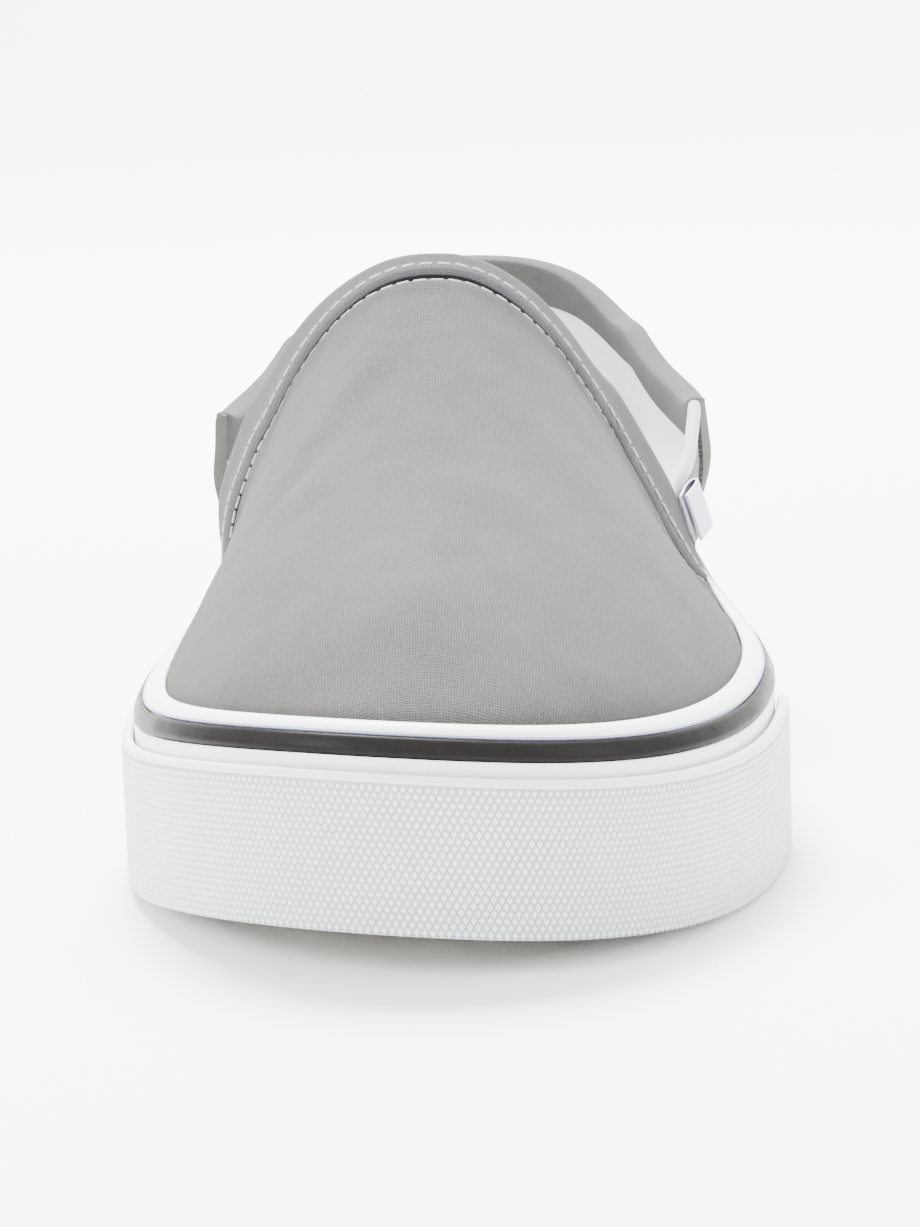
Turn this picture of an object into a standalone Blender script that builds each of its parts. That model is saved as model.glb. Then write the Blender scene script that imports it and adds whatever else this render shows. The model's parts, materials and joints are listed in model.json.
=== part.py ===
"""A left slip-on canvas sneaker: a vulcanised rubber sole, a hollow canvas upper and its fittings.

The shoe stands on the floor with its toe towards -Y and its outer side towards +X, in metres.
"""
import bpy
import bmesh
import math
import numpy as np

# Main sizes
SHOE_LENGTH = 0.290
BALL_WIDTH = 0.107
INSTEP_HEIGHT = 0.0915
HEEL_HEIGHT = 0.077
SIDE_HEIGHT = 0.0309
TOE_SPRING = 0.0063
TOE_TWIST = 0.0042

# Sole
CORE_TOP = 0.0130
LUG_DEPTH = 0.0022
LUG_WIDTH = 0.0086
LUG_LENGTH = 0.0112
LUG_PITCH_X = 0.0150
LUG_PITCH_Y = 0.0190
TREAD_RIM_WIDTH = 0.0034
TREAD_RIM_INSET = 0.0040
TREAD_PAD_RADIUS = 0.0130
LUG_ROOT = 0.0005
INSOLE_THICKNESS = 0.0040
INSOLE_CUP = 0.0014

# Side band, stripe and toe strip
FOXING_THICKNESS = 0.0026
FOXING_FLOOR_GAP = 0.0004
STRIPE_DROP = 0.0047
STRIPE_HEIGHT = 0.0031
STRIPE_THICKNESS = 0.0009
STRIPE_LEAN = 0.0017
BUMPER_THICKNESS = 0.0019
BUMPER_DROP = 0.0072
BUMPER_ROUND = 0.0016

# Upper and the pieces on it
WALL = 0.0018
LEDGE = 0.0026
GAP = 0.0003
BAND_WIDTH = 0.0076
BAND_APEX_WIDTH = 0.0040
BAND_THICKNESS = 0.0008
GORE_THICKNESS = 0.0012
GORE_RECESS = 0.0003
GORE_CLEARANCE = 0.00035
COLLAR_DEPTH = 0.0130
COLLAR_PAD = 0.0030
STAY_WIDTH = 0.0260
STAY_THICKNESS = 0.0009
TAG_WIDTH = 0.0090
TAG_PLACE = 0.32
TAG_LENGTH = 0.0075
TAG_LOOP = 0.0032
TAG_SEAT = 0.0015
TAG_NECK = 0.35
TAG_THICKNESS = 0.0005

# Roundness of the toe and heel caps, and where and how the toe spring starts
ROUND_TOE = {-1: 2.17, 1: 2.11}
ROUND_HEEL = 2.25
TIP_X = 0.0187
SPRING_START = -0.267
SPRING_CURVE = 1.79
TWIST_CURVE = 1.2
FLARE_RISE = 0.22

# Side band seen from above behind the ball: y over the length, sides over the ball width
OUTLINE_ROWS = (
    # y, medial, lateral
    (-0.194, -0.461, 0.498),
    (-0.138, -0.459, 0.492),
    (-0.069, -0.449, 0.473),
    (0.000, -0.434, 0.453),
    (0.069, -0.423, 0.434),
    (0.207, -0.417, 0.407),
    (0.328, -0.400, 0.370),
)

# Upper's cross sections: y over the length, ridge x and the flares over the ball width, ridge z
# over the instep height. The ridge behind the throat is where the walls would meet.
SECTION_ROWS = (
    # y, ridge x, ridge z, round medial, round lateral, lean, flare medial, flare lateral
    (-0.492, 0.010, 0.470, 1.90, 1.90, 1.00, 0.000, 0.000),
    (-0.414, 0.004, 0.545, 1.75, 1.75, 1.00, 0.000, 0.000),
    (-0.310, -0.006, 0.622, 1.45, 1.40, 1.00, 0.000, 0.000),
    (-0.207, -0.015, 0.722, 1.15, 1.08, 0.95, 0.000, 0.000),
    (-0.103, -0.021, 0.872, 0.98, 0.80, 0.80, 0.004, 0.000),
    (-0.034, -0.022, 1.000, 0.94, 0.66, 0.60, 0.008, 0.002),
    (0.000, -0.022, 1.131, 0.95, 0.62, 0.50, 0.022, 0.004),
    (0.034, -0.020, 1.366, 1.05, 0.76, 0.42, 0.044, 0.020),
    (0.069, -0.018, 1.640, 1.20, 1.05, 0.40, 0.054, 0.040),
    (0.155, -0.014, 1.960, 1.45, 1.40, 0.40, 0.066, 0.060),
    (0.276, -0.016, 1.750, 1.42, 1.42, 0.40, 0.040, 0.040),
    (0.379, -0.016, 1.540, 1.34, 1.34, 0.40, 0.014, 0.014),
    (0.500, -0.016, 1.640, 1.50, 1.50, 0.40, 0.010, 0.010),
)

# Top edge: y over the length, how much of the height is the instep's, and the share of it
TOPLINE_ROWS = (
    # y, instep, height
    (-0.0345, 1.00, 1.000),
    (-0.0207, 1.00, 0.949),
    (-0.0069, 1.00, 0.863),
    (0.0035, 1.00, 0.776),
    (0.0138, 0.90, 0.738),
    (0.0414, 0.70, 0.731),
    (0.0690, 0.60, 0.729),
    (0.1034, 0.50, 0.718),
    (0.1552, 0.40, 0.706),
    (0.2069, 0.30, 0.725),
    (0.2759, 0.20, 0.776),
    (0.3448, 0.10, 0.872),
    (0.4138, 0.00, 0.938),
    (0.4724, 0.00, 0.990),
    (0.5000, 0.00, 1.000),
)

# Gore notch: y over the length, heights over the side wall from the side band to the top edge
GORE_FRONT_TOP = 0.0138
GORE_FRONT_FOOT = 0.0370
GORE_REAR_FOOT = 0.0660
GORE_REAR_TOP = 0.1034
GORE_FOOT = 0.16
GORE_LOW = 0.45
BAND_FOOT = 0.0450

# Columns behind the ball, y over the length, and how many lie in each cap
MID_COLUMNS = (-0.194, -0.152, -0.118, -0.088, -0.066, -0.049, -0.0345, -0.0330, -0.0293,
               -0.0235, -0.0160, -0.0075, 0.0030, 0.0138, 0.0195, 0.0253, 0.0311, 0.0370,
               0.0515, 0.0660, 0.0753, 0.0847, 0.0940, 0.1034, 0.1380, 0.1900, 0.2410,
               0.2850, 0.328)
TOE_COLUMNS = 12
HEEL_COLUMNS = 8
APEX = -0.0345
SPINE_TOE = -0.362
DOME_ROWS = 13
WALL_ROWS = (0.58, 0.74, 0.88)

TIP_Y = -SHOE_LENGTH / 2 + GAP + BUMPER_THICKNESS
HEEL_Y = SHOE_LENGTH / 2
BALL_INDEX = TOE_COLUMNS
HEEL_INDEX = TOE_COLUMNS + len(MID_COLUMNS) - 1
LAST = HEEL_INDEX + HEEL_COLUMNS
APEX_INDEX = TOE_COLUMNS + MID_COLUMNS.index(APEX)
FOOT_Z = CORE_TOP + GAP


def smooth(rows, column, y):
    """Reads a table's column at y through a smooth curve."""
    xs = np.array([row[0] for row in rows])
    vs = np.array([row[column] for row in rows])
    slopes = np.diff(vs) / np.diff(xs)
    tangents = np.zeros(len(xs))
    same = slopes[:-1] * slopes[1:] > 0
    mean = 2.0 * slopes[:-1] * slopes[1:] / np.where(same, slopes[:-1] + slopes[1:], 1.0)
    tangents[1:-1] = np.where(same, mean, 0.0)
    y = np.clip(y, xs[0], xs[-1])
    i = np.clip(np.searchsorted(xs, y) - 1, 0, len(xs) - 2)
    h = xs[i + 1] - xs[i]
    t = (y - xs[i]) / h
    a = vs[i] * (1 + 2 * t) * (1 - t) ** 2 + vs[i + 1] * t * t * (3 - 2 * t)
    return a + h * (tangents[i] * t * (1 - t) ** 2 - tangents[i + 1] * t * t * (1 - t))


def lift(x, y):
    """Height of the toe spring, a little more on the inner side."""
    u = np.clip((SPRING_START - y / SHOE_LENGTH) / (SPRING_START + 0.5), 0.0, 1.0)
    twist = TOE_TWIST * x / (BALL_WIDTH / 2) * u ** TWIST_CURVE
    return TOE_SPRING * u ** SPRING_CURVE - twist


def outline_point(k, side):
    """Point of the side band's outer face on column k of one side, from above."""
    ball = MID_COLUMNS[0]
    ball_half = (OUTLINE_ROWS[0][2] - OUTLINE_ROWS[0][1]) / 2 * BALL_WIDTH
    ball_x = (OUTLINE_ROWS[0][2] + OUTLINE_ROWS[0][1]) / 2 * BALL_WIDTH
    if k < BALL_INDEX:
        phi = math.pi / 2 * k / TOE_COLUMNS
        power = 2.0 / ROUND_TOE[side]
        along = math.cos(phi) ** power
        y = ball * SHOE_LENGTH - along * (ball * SHOE_LENGTH - TIP_Y)
        centre = ball_x + (TIP_X * BALL_WIDTH - ball_x) * along
        return centre + side * ball_half * math.sin(phi) ** power, y
    if k <= HEEL_INDEX:
        share = np.interp(k - BALL_INDEX, range(len(MID_COLUMNS)), MID_COLUMNS)
        column = 1 if side < 0 else 2
        return float(smooth(OUTLINE_ROWS, column, share)) * BALL_WIDTH, share * SHOE_LENGTH
    phi = math.pi / 2 * (LAST - k) / HEEL_COLUMNS
    power = 2.0 / ROUND_HEEL
    row = OUTLINE_ROWS[-1]
    half = (row[2] - row[1]) / 2 * BALL_WIDTH
    centre = (row[2] + row[1]) / 2 * BALL_WIDTH
    start = row[0] * SHOE_LENGTH
    return (centre + side * half * math.sin(phi) ** power,
            start + (HEEL_Y - start) * math.cos(phi) ** power)


def ring_index(i):
    """Column number and side of place i on the ring, which starts at the tip."""
    i = i % (2 * LAST)
    return (i, 1) if i <= LAST else (2 * LAST - i, -1)


def ring_frame(places):
    """Outline points and outward normals at the given places of the ring."""
    step = 0.05
    points, normals = [], []
    for i in places:
        here = np.array(outline_point(*ring_index(i)))
        after = np.array(outline_point(*ring_index(i + step)))
        before = np.array(outline_point(*ring_index(i - step)))
        along = after - before
        normal = np.array([along[1], -along[0]]) / np.linalg.norm(along)
        points.append(here)
        normals.append(normal)
    return np.array(points), np.array(normals)


def wall_inset(z, lean):
    """How far the upper's outer face lies inside the side band's outer face at height z."""
    start = SIDE_HEIGHT * WALL_ROWS[0]
    t = np.clip((z - start) / (SIDE_HEIGHT - start), 0.0, 1.0)
    return FOXING_THICKNESS + GAP + LEDGE * lean * t * t


def spine_point(k):
    """Point of the spine that column k runs to, from above."""
    toe = SPINE_TOE
    ball = MID_COLUMNS[0]
    if k < BALL_INDEX:
        share = toe + (ball - toe) * (k / TOE_COLUMNS) ** 1.3
    elif k <= HEEL_INDEX:
        share = float(np.interp(k - BALL_INDEX, range(len(MID_COLUMNS)), MID_COLUMNS))
    else:
        share = MID_COLUMNS[-1] + 0.03 * (k - HEEL_INDEX) / HEEL_COLUMNS
    return float(smooth(SECTION_ROWS, 1, share)) * BALL_WIDTH, share * SHOE_LENGTH


def column_frame(i):
    """Sizes that every point of the upper on ring place i shares."""
    k, side = ring_index(i)
    points, normals = ring_frame([i])
    share = points[0][1] / SHOE_LENGTH
    lean = float(smooth(SECTION_ROWS, 5, share))
    edge = points[0] - normals[0] * wall_inset(SIDE_HEIGHT, lean)
    spine = np.array(spine_point(k))
    middle = (share + spine[1] / SHOE_LENGTH) / 2
    roundness = float(smooth(SECTION_ROWS, 3 if side < 0 else 4, middle))
    flare = float(smooth(SECTION_ROWS, 6 if side < 0 else 7, share)) * BALL_WIDTH
    if k > HEEL_INDEX:
        flare = float(smooth(SECTION_ROWS, 6, share) + smooth(SECTION_ROWS, 7, share))
        flare *= BALL_WIDTH / 2
    base = SIDE_HEIGHT + float(lift(edge[0], edge[1]))
    return k, side, points[0], normals[0], lean, edge, spine, roundness, flare, base


def dome_point(frame, h):
    """Point of the upper's outer face at the share h of the way up to the ridge."""
    normal, edge, spine, roundness, flare, base = frame[3], *frame[5:]
    h = np.asarray(h, float)
    rho = np.sqrt(np.clip(1.0 - h ** roundness, 0.0, 1.0))
    xy = spine + (edge - spine) * rho[..., None]
    ridge = smooth(SECTION_ROWS, 2, xy[..., 1] / SHOE_LENGTH) * INSTEP_HEIGHT
    z = base + (ridge - base) * h
    rise = np.clip((z - base) / (FLARE_RISE * INSTEP_HEIGHT), 0.0, 1.0)
    side = np.clip(rho / 0.6, 0.0, 1.0)
    out = flare * rise * rise * (3 - 2 * rise) * side * side * (3 - 2 * side)
    xy = xy + normal * out[..., None]
    return np.concatenate([xy, z[..., None]], axis=-1)


def top_height(share):
    """Height of the upper's top edge over the floor at a share of the length."""
    instep = smooth(TOPLINE_ROWS, 1, share)
    return smooth(TOPLINE_ROWS, 2, share) * (instep * INSTEP_HEIGHT + (1 - instep) * HEEL_HEIGHT)


def notch_height(share, grow=0.0):
    """Height of the gore notch's edge, or of the top edge outside the notch."""
    top = float(top_height(share))
    g = grow / SHOE_LENGTH
    rows = (GORE_FRONT_TOP + g, GORE_FRONT_FOOT + g, GORE_REAR_FOOT - g, GORE_REAR_TOP - g)
    if not rows[0] < share < rows[3]:
        return top
    foot = SIDE_HEIGHT + (top - SIDE_HEIGHT) * GORE_FOOT + grow
    return float(np.interp(share, rows, (top, foot, foot, top)))


def height_share(frame, z):
    """Share h of the dome at which column's outer face is at height z, behind the throat."""
    ridge = float(smooth(SECTION_ROWS, 2, frame[5][1] / SHOE_LENGTH)) * INSTEP_HEIGHT
    return (z - frame[9]) / (ridge - frame[9])


def dome_line(frame, low, high, count):
    """Evenly spaced points of the upper's outer face between two shares of the dome."""
    t = np.linspace(0.0, 1.0, 161)
    h = low + (high - low) * (1 - np.cos(t * math.pi)) / 2
    fine = dome_point(frame, h)
    run = np.concatenate([[0.0], np.cumsum(np.linalg.norm(np.diff(fine, axis=0), axis=1))])
    where = np.linspace(0.0, run[-1], count)
    return np.stack([np.interp(where, run, fine[:, c]) for c in range(3)], axis=1)


def make_object(name, verts, faces, sharp=40.0):
    """Makes one closed mesh object from points and faces."""
    bm = bmesh.new()
    made = [bm.verts.new(v) for v in verts]
    bm.verts.ensure_lookup_table()
    for face in faces:
        bm.faces.new([made[j] for j in face])
    bmesh.ops.remove_doubles(bm, verts=bm.verts, dist=1e-6)
    bmesh.ops.dissolve_degenerate(bm, dist=1e-7, edges=bm.edges)
    bmesh.ops.recalc_face_normals(bm, faces=bm.faces)
    mesh = bpy.data.meshes.new(name)
    bm.to_mesh(mesh)
    bm.free()
    obj = bpy.data.objects.new(name, mesh)
    bpy.context.scene.collection.objects.link(obj)
    obj.select_set(True)
    for polygon in mesh.polygons:
        polygon.use_smooth = True
    mesh.set_sharp_from_angle(angle=math.radians(sharp))
    return obj


def grid_faces(rows, columns, start=0, closed=False):
    """Faces of a grid of points that is stored row after row."""
    faces = []
    last = rows if closed else rows - 1
    for i in range(last):
        j = (i + 1) % rows
        for c in range(columns - 1):
            a, b = start + i * columns + c, start + j * columns + c
            faces.append((a, b, b + 1, a + 1))
    return faces


def section_ring(name, places, section):
    """Sweeps a closed section along the outline. The section gives outward offset and height."""
    points, normals = ring_frame(places)
    whole = len(places) == 2 * LAST
    verts, faces = [], []
    count = 0
    for n, i in enumerate(places):
        rows = section(i, n, len(places))
        count = len(rows)
        for offset, z in rows:
            x, y = points[n] + normals[n] * offset
            verts.append((x, y, z + float(lift(x, y))))
    total = len(places)
    for n in range(total if whole else total - 1):
        m = (n + 1) % total
        for c in range(count):
            d = (c + 1) % count
            faces.append((n * count + c, m * count + c, m * count + d, n * count + d))
    if not whole:
        faces.append(tuple(range(count)))
        faces.append(tuple((total - 1) * count + c for c in reversed(range(count))))
    return make_object(name, verts, faces)


def sheet_normals(verts, faces):
    """Mean normals of a sheet's points, after points that coincide are counted as one."""
    verts = np.array(verts)
    keys = {}
    group = np.zeros(len(verts), int)
    for n, v in enumerate(verts):
        group[n] = keys.setdefault(tuple(np.round(v / 1e-7).astype(int)), len(keys))
    total = np.zeros((len(keys), 3))
    for face in faces:
        p = verts[list(face)]
        cross = np.cross(p[2] - p[0], p[3] - p[1]) if len(face) == 4 else np.cross(
            p[1] - p[0], p[2] - p[0])
        for j in set(group[list(face)]):
            total[j] += cross
    size = np.linalg.norm(total, axis=1)
    total /= np.where(size > 0, size, 1.0)[:, None]
    return total[group]


def thick_sheet(name, verts, faces, outer, inner, flat=None):
    """Closes a sheet into a solid between two offsets along its normals."""
    verts = np.array(verts)
    normals = sheet_normals(verts, faces)
    if flat is not None:
        normals = flat(verts, normals)
    outer = np.broadcast_to(outer, len(verts))
    inner = np.broadcast_to(inner, len(verts))
    top = verts + normals * outer[:, None]
    low = verts + normals * inner[:, None]
    keys = {}
    group = [keys.setdefault(tuple(np.round(v / 1e-7).astype(int)), n)
             for n, v in enumerate(verts)]
    used = {}
    for face in faces:
        ring = [group[j] for j in face]
        for a, b in zip(ring, ring[1:] + ring[:1]):
            if a != b:
                used[(a, b)] = (a, b)
    n = len(verts)
    solid = [tuple(face) for face in faces]
    solid += [tuple(n + j for j in reversed(face)) for face in faces]
    for (a, b) in used:
        if (b, a) not in used:
            solid.append((b, a, n + a, n + b))
    clean = []
    for face in solid:
        ring = []
        for j in face:
            g = group[j] if j < n else n + group[j - n]
            if g not in ring:
                ring.append(g)
        if len(ring) > 2:
            clean.append(tuple(ring))
    return make_object(name, np.concatenate([top, low]), clean)


def upper_column(i, rows):
    """Outer face of the upper on ring place i, from the feather edge to the rim."""
    frame = column_frame(i)
    outer, normal, lean, base = frame[2], frame[3], frame[4], frame[9]
    share = outer[1] / SHOE_LENGTH
    points = []
    for z in (FOOT_Z, *(SIDE_HEIGHT * row for row in WALL_ROWS)):
        xy = outer - normal * wall_inset(z, lean)
        points.append((xy[0], xy[1], z + float(lift(xy[0], xy[1]))))
    high = 1.0
    if frame[0] > APEX_INDEX:
        high = height_share(frame, notch_height(share))
    return points + [tuple(p) for p in dome_line(frame, 0.0, high, rows)]


def make_upper():
    """One hollow canvas shell with a notch for each gore."""
    verts = []
    count = 4 + DOME_ROWS
    for i in range(2 * LAST):
        verts += upper_column(i, DOME_ROWS)
    faces = grid_faces(2 * LAST, count, closed=True)

    def level(points, normals):
        foot = np.arange(len(points)) % count == 0
        normals[foot, 2] = 0.0
        normals[foot] /= np.linalg.norm(normals[foot], axis=1)[:, None]
        return normals

    return thick_sheet("upper", verts, faces, 0.0, -WALL, level)


def section_point(side, share, rho):
    """Point of the upper's outer face on the section at a share of the length."""
    frame = side_frame(share, side)
    h = (1.0 - rho * rho) ** (1.0 / frame[7])
    return dome_point(frame, np.array([h]))[0]


def band_path():
    """Places of the throat band's rear edge from the ridge to the sole: share and rho."""
    places = {-1: [], 1: []}
    for side in places:
        for n in range(APEX_INDEX, BALL_INDEX + MID_COLUMNS.index(GORE_FRONT_FOOT) + 1):
            share = MID_COLUMNS[n - BALL_INDEX]
            frame = column_frame(n if side > 0 else 2 * LAST - n)
            h = min(1.0, height_share(frame, notch_height(share)))
            places[side].append((share, math.sqrt(max(0.0, 1.0 - h ** frame[7]))))
        share, rho = places[side][-1]
        for t in (0.34, 0.67, 1.0):
            there = share + (BAND_FOOT - share) * t
            frame = side_frame(there, side)
            high = notch_height(GORE_FRONT_FOOT)
            z = high + (SIDE_HEIGHT + 2.5 * GAP - high) * t
            h = height_share(frame, z)
            places[side].append((there, math.sqrt(1.0 - h ** frame[7])))
    return places


def make_throat_band():
    """The folded strip along the throat and down both sides to the side band."""
    places = band_path()
    path = [(-1, *p) for p in reversed(places[-1])] + [(1, *p) for p in places[1][1:]]
    across = 4
    verts = []
    for side, share, rho in path:
        for c in range(across):
            wide = min(rho / 0.7, 1.0) ** 2
            wide = BAND_APEX_WIDTH + (BAND_WIDTH - BAND_APEX_WIDTH) * wide
            there = share - wide / SHOE_LENGTH * c / (across - 1)
            verts.append(tuple(section_point(side, there, rho)))
    faces = [tuple(reversed(face)) for face in grid_faces(len(path), across)]
    return thick_sheet("throat_band", verts, faces, GAP + BAND_THICKNESS, GAP)


def side_frame(share, side):
    """Column sizes of the upper on one side at a share of the length behind the ball."""
    k = BALL_INDEX + float(np.interp(share, MID_COLUMNS, range(len(MID_COLUMNS))))
    return column_frame(k if side > 0 else 2 * LAST - k)


def notch_front(z):
    """Share of the length at which the notch's front edge is at height z."""
    high = float(top_height(GORE_FRONT_TOP))
    low = notch_height(GORE_FRONT_FOOT)
    return GORE_FRONT_TOP + (GORE_FRONT_FOOT - GORE_FRONT_TOP) * (high - z) / (high - low)


def make_gore(name, side):
    """An elastic panel in its notch of the upper, whose top edge slopes up to the rear."""
    edge = GORE_CLEARANCE
    high = float(top_height(GORE_FRONT_TOP))
    front_z = SIDE_HEIGHT + (high - SIDE_HEIGHT) * GORE_LOW
    rear_z = float(top_height(GORE_REAR_TOP))
    corner = notch_front(front_z)
    first = corner + 3.0 * edge / SHOE_LENGTH
    last = GORE_REAR_TOP - 4.0 * edge / SHOE_LENGTH
    shares = list(np.linspace(first, GORE_FRONT_FOOT + edge / SHOE_LENGTH, 4))
    shares += list(np.linspace(GORE_FRONT_FOOT, GORE_REAR_FOOT, 5)[1:-1])
    shares += list(np.linspace(GORE_REAR_FOOT - edge / SHOE_LENGTH, last, 5))
    rows = 7
    verts = []
    for share in shares:
        frame = side_frame(share, side)
        top = np.interp(share, (corner, GORE_REAR_TOP), (front_z, rear_z))
        low = height_share(frame, notch_height(share, edge))
        verts += [tuple(p) for p in dome_line(frame, low, height_share(frame, top), rows)]
    faces = grid_faces(len(shares), rows)
    if side < 0:
        faces = [tuple(reversed(face)) for face in faces]
    return thick_sheet(name, verts, faces, -GORE_RECESS, -GORE_RECESS - GORE_THICKNESS)


def make_collar():
    """The padded band inside the top edge, from gore to gore round the heel."""
    start = BALL_INDEX + MID_COLUMNS.index(GORE_REAR_TOP) + 0.35
    places = [start] + list(range(int(start) + 1, 2 * LAST - int(start))) + [2 * LAST - start]
    rows = 6
    pads = [0.35, 0.75, 1.0, 1.0, 0.85, 0.5]
    verts, depth = [], []
    for i in places:
        frame = column_frame(i)
        share = frame[2][1] / SHOE_LENGTH
        top = float(top_height(share))
        low = height_share(frame, top - COLLAR_DEPTH)
        verts += [tuple(p) for p in dome_line(frame, low, height_share(frame, top), rows)]
        depth += pads
    faces = grid_faces(len(places), rows)
    inner = -(WALL + GAP) - COLLAR_PAD * np.array(depth)
    return thick_sheet("collar", verts, faces, -(WALL + GAP), inner)


def make_heel_stay():
    """A plain strap up the back seam."""
    points, normals = ring_frame([LAST])
    reach = 0.0
    span = 0.0
    here = np.array(outline_point(LAST, 1))
    while reach < STAY_WIDTH / 2:
        span += 0.05
        there = np.array(outline_point(LAST - span, 1))
        reach += np.linalg.norm(there - here)
        here = there
    places = np.linspace(LAST - span, LAST + span, 7)
    rows = 9
    verts = []
    for i in places:
        frame = column_frame(i)
        top = float(top_height(frame[2][1] / SHOE_LENGTH))
        low = height_share(frame, SIDE_HEIGHT + 2 * GAP)
        verts += [tuple(p) for p in dome_line(frame, low, height_share(frame, top), rows)]
    faces = grid_faces(len(places), rows)
    return thick_sheet("heel_stay", verts, faces, GAP + STAY_THICKNESS, GAP)


def foxing_section(i, n, total):
    """Section of the side band: outward offset and height over the sole's floor line."""
    points, normals = ring_frame([i])
    lean = float(smooth(SECTION_ROWS, 5, points[0][1] / SHOE_LENGTH))
    line = np.array([STRIPE_LEAN, STRIPE_HEIGHT])
    line = line / np.linalg.norm(line)
    inward = np.array([line[1], -line[0]])
    foot = np.array([0.0, SIDE_HEIGHT - STRIPE_DROP])
    head = foot + line * STRIPE_HEIGHT
    deep = STRIPE_THICKNESS * 0.7 + GAP
    low = foot - line * GAP
    high = head + line * GAP
    rows = [(0.0003, FOXING_FLOOR_GAP), (0.0, FOXING_FLOOR_GAP * 2), (low[0] + 1e-5, low[1])]
    rows += [tuple(low + inward * deep), tuple(high + inward * deep), tuple(high)]
    edge = wall_inset(SIDE_HEIGHT, lean) - GAP
    rows += [(high[0] + (edge - high[0]) * 0.75, SIDE_HEIGHT - 0.0003), (edge, SIDE_HEIGHT)]
    for row in reversed(WALL_ROWS):
        height = SIDE_HEIGHT * row
        rows.append((float(wall_inset(height, lean)) - GAP, height))
    rows.append((FOXING_THICKNESS, FOXING_FLOOR_GAP))
    return [(-inset, z) for inset, z in rows]


def stripe_section(i, n, total):
    """Section of the black strip, which lies in the side band's step."""
    line = np.array([STRIPE_LEAN, STRIPE_HEIGHT])
    line = line / np.linalg.norm(line)
    inward = np.array([line[1], -line[0]])
    foot = np.array([0.0, SIDE_HEIGHT - STRIPE_DROP]) - inward * STRIPE_THICKNESS * 0.3
    head = foot + line * STRIPE_HEIGHT
    rows = [foot, foot + inward * STRIPE_THICKNESS, head + inward * STRIPE_THICKNESS, head]
    return [(-r[0], r[1]) for r in rows]


def bumper_section(i, n, total):
    """Section of the toe strip, which lies on the side band."""
    top = SIDE_HEIGHT - BUMPER_DROP
    inner, outer = GAP, GAP + BUMPER_THICKNESS
    return [(inner, FOXING_FLOOR_GAP), (outer - 0.0005, FOXING_FLOOR_GAP),
            (outer, FOXING_FLOOR_GAP * 2), (outer, top - BUMPER_ROUND),
            (outer - 0.3 * BUMPER_ROUND, top - 0.45 * BUMPER_ROUND),
            (outer - 0.75 * BUMPER_ROUND, top - 0.08 * BUMPER_ROUND), (inner, top)]


def sole_places():
    """Ring places at which the sole's pieces have their sections."""
    half = list(range(BALL_INDEX + 1))
    half += [BALL_INDEX + n for n in (2, 4, 6, 10, 13, 16, 18, 20, 23, 24, 25, 26, 27)]
    half += list(range(HEEL_INDEX, LAST + 1))
    return half


def ring_places():
    half = sole_places()
    return half + [2 * LAST - k for k in reversed(half[1:-1])]


def closed_ring(name, section):
    """Sweeps a section round the whole outline."""
    places = ring_places()
    points, normals = ring_frame(places)
    verts, faces, count = [], [], 0
    for n, i in enumerate(places):
        rows = section(i, n, len(places))
        count = len(rows)
        for offset, z in rows:
            x, y = points[n] + normals[n] * offset
            verts.append((x, y, z + float(lift(x, y))))
    total = len(places)
    for n in range(total):
        m = (n + 1) % total
        for c in range(count):
            d = (c + 1) % count
            faces.append((n * count + c, m * count + c, m * count + d, n * count + d))
    return make_object(name, verts, faces)


def plate(name, inset, low, high, across=7):
    """A plate inside the outline, from the height low to the height high of its lattice."""
    half = sole_places()
    verts = []
    edges = {}
    for side in (-1, 1):
        places = [k if side > 0 else (2 * LAST - k) % (2 * LAST) for k in half]
        points, normals = ring_frame(places)
        edges[side] = points - normals * inset
    for level in (low, high):
        for n in range(len(half)):
            left, right = edges[-1][n], edges[1][n]
            for c in range(across):
                t = c / (across - 1)
                s = (1 - math.cos(math.pi * t)) / 2
                x, y = left + (right - left) * s
                z = level(2 * s - 1, n, len(half))
                verts.append((x, y, z + float(lift(x, y))))
    total = len(half) * across
    faces = grid_faces(len(half), across)
    faces += [tuple(total + j for j in reversed(face)) for face in grid_faces(len(half), across)]
    for n in range(len(half) - 1):
        for c in (0, across - 1):
            a, b = n * across + c, (n + 1) * across + c
            faces.append((a, b, total + b, total + a))
    return make_object(name, verts, faces)


def make_insole():
    """The footbed, a little higher along its edge."""
    inset = FOXING_THICKNESS + GAP + WALL + GAP

    def top(across, n, total):
        edge = max(abs(across) ** 3, (abs(2.0 * n / (total - 1) - 1)) ** 8)
        return FOOT_Z + INSOLE_THICKNESS + INSOLE_CUP * edge

    return plate("insole", inset, lambda a, n, t: FOOT_Z, top)


def inside(polygon, point):
    """Whether a point lies inside a polygon."""
    x, y = point
    found = False
    for (x0, y0), (x1, y1) in zip(polygon, polygon[1:] + polygon[:1]):
        if (y0 > y) != (y1 > y) and x < (x1 - x0) * (y - y0) / (y1 - y0) + x0:
            found = not found
    return found


def prism(verts, faces, polygon, low, high):
    """Adds an upright prism to a list of points and faces."""
    start = len(verts)
    count = len(polygon)
    verts += [(x, y, low) for x, y in polygon] + [(x, y, high) for x, y in polygon]
    faces.append(tuple(start + j for j in reversed(range(count))))
    faces.append(tuple(start + count + j for j in range(count)))
    for j in range(count):
        m = (j + 1) % count
        faces.append((start + j, start + m, start + count + m, start + count + j))


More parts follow.
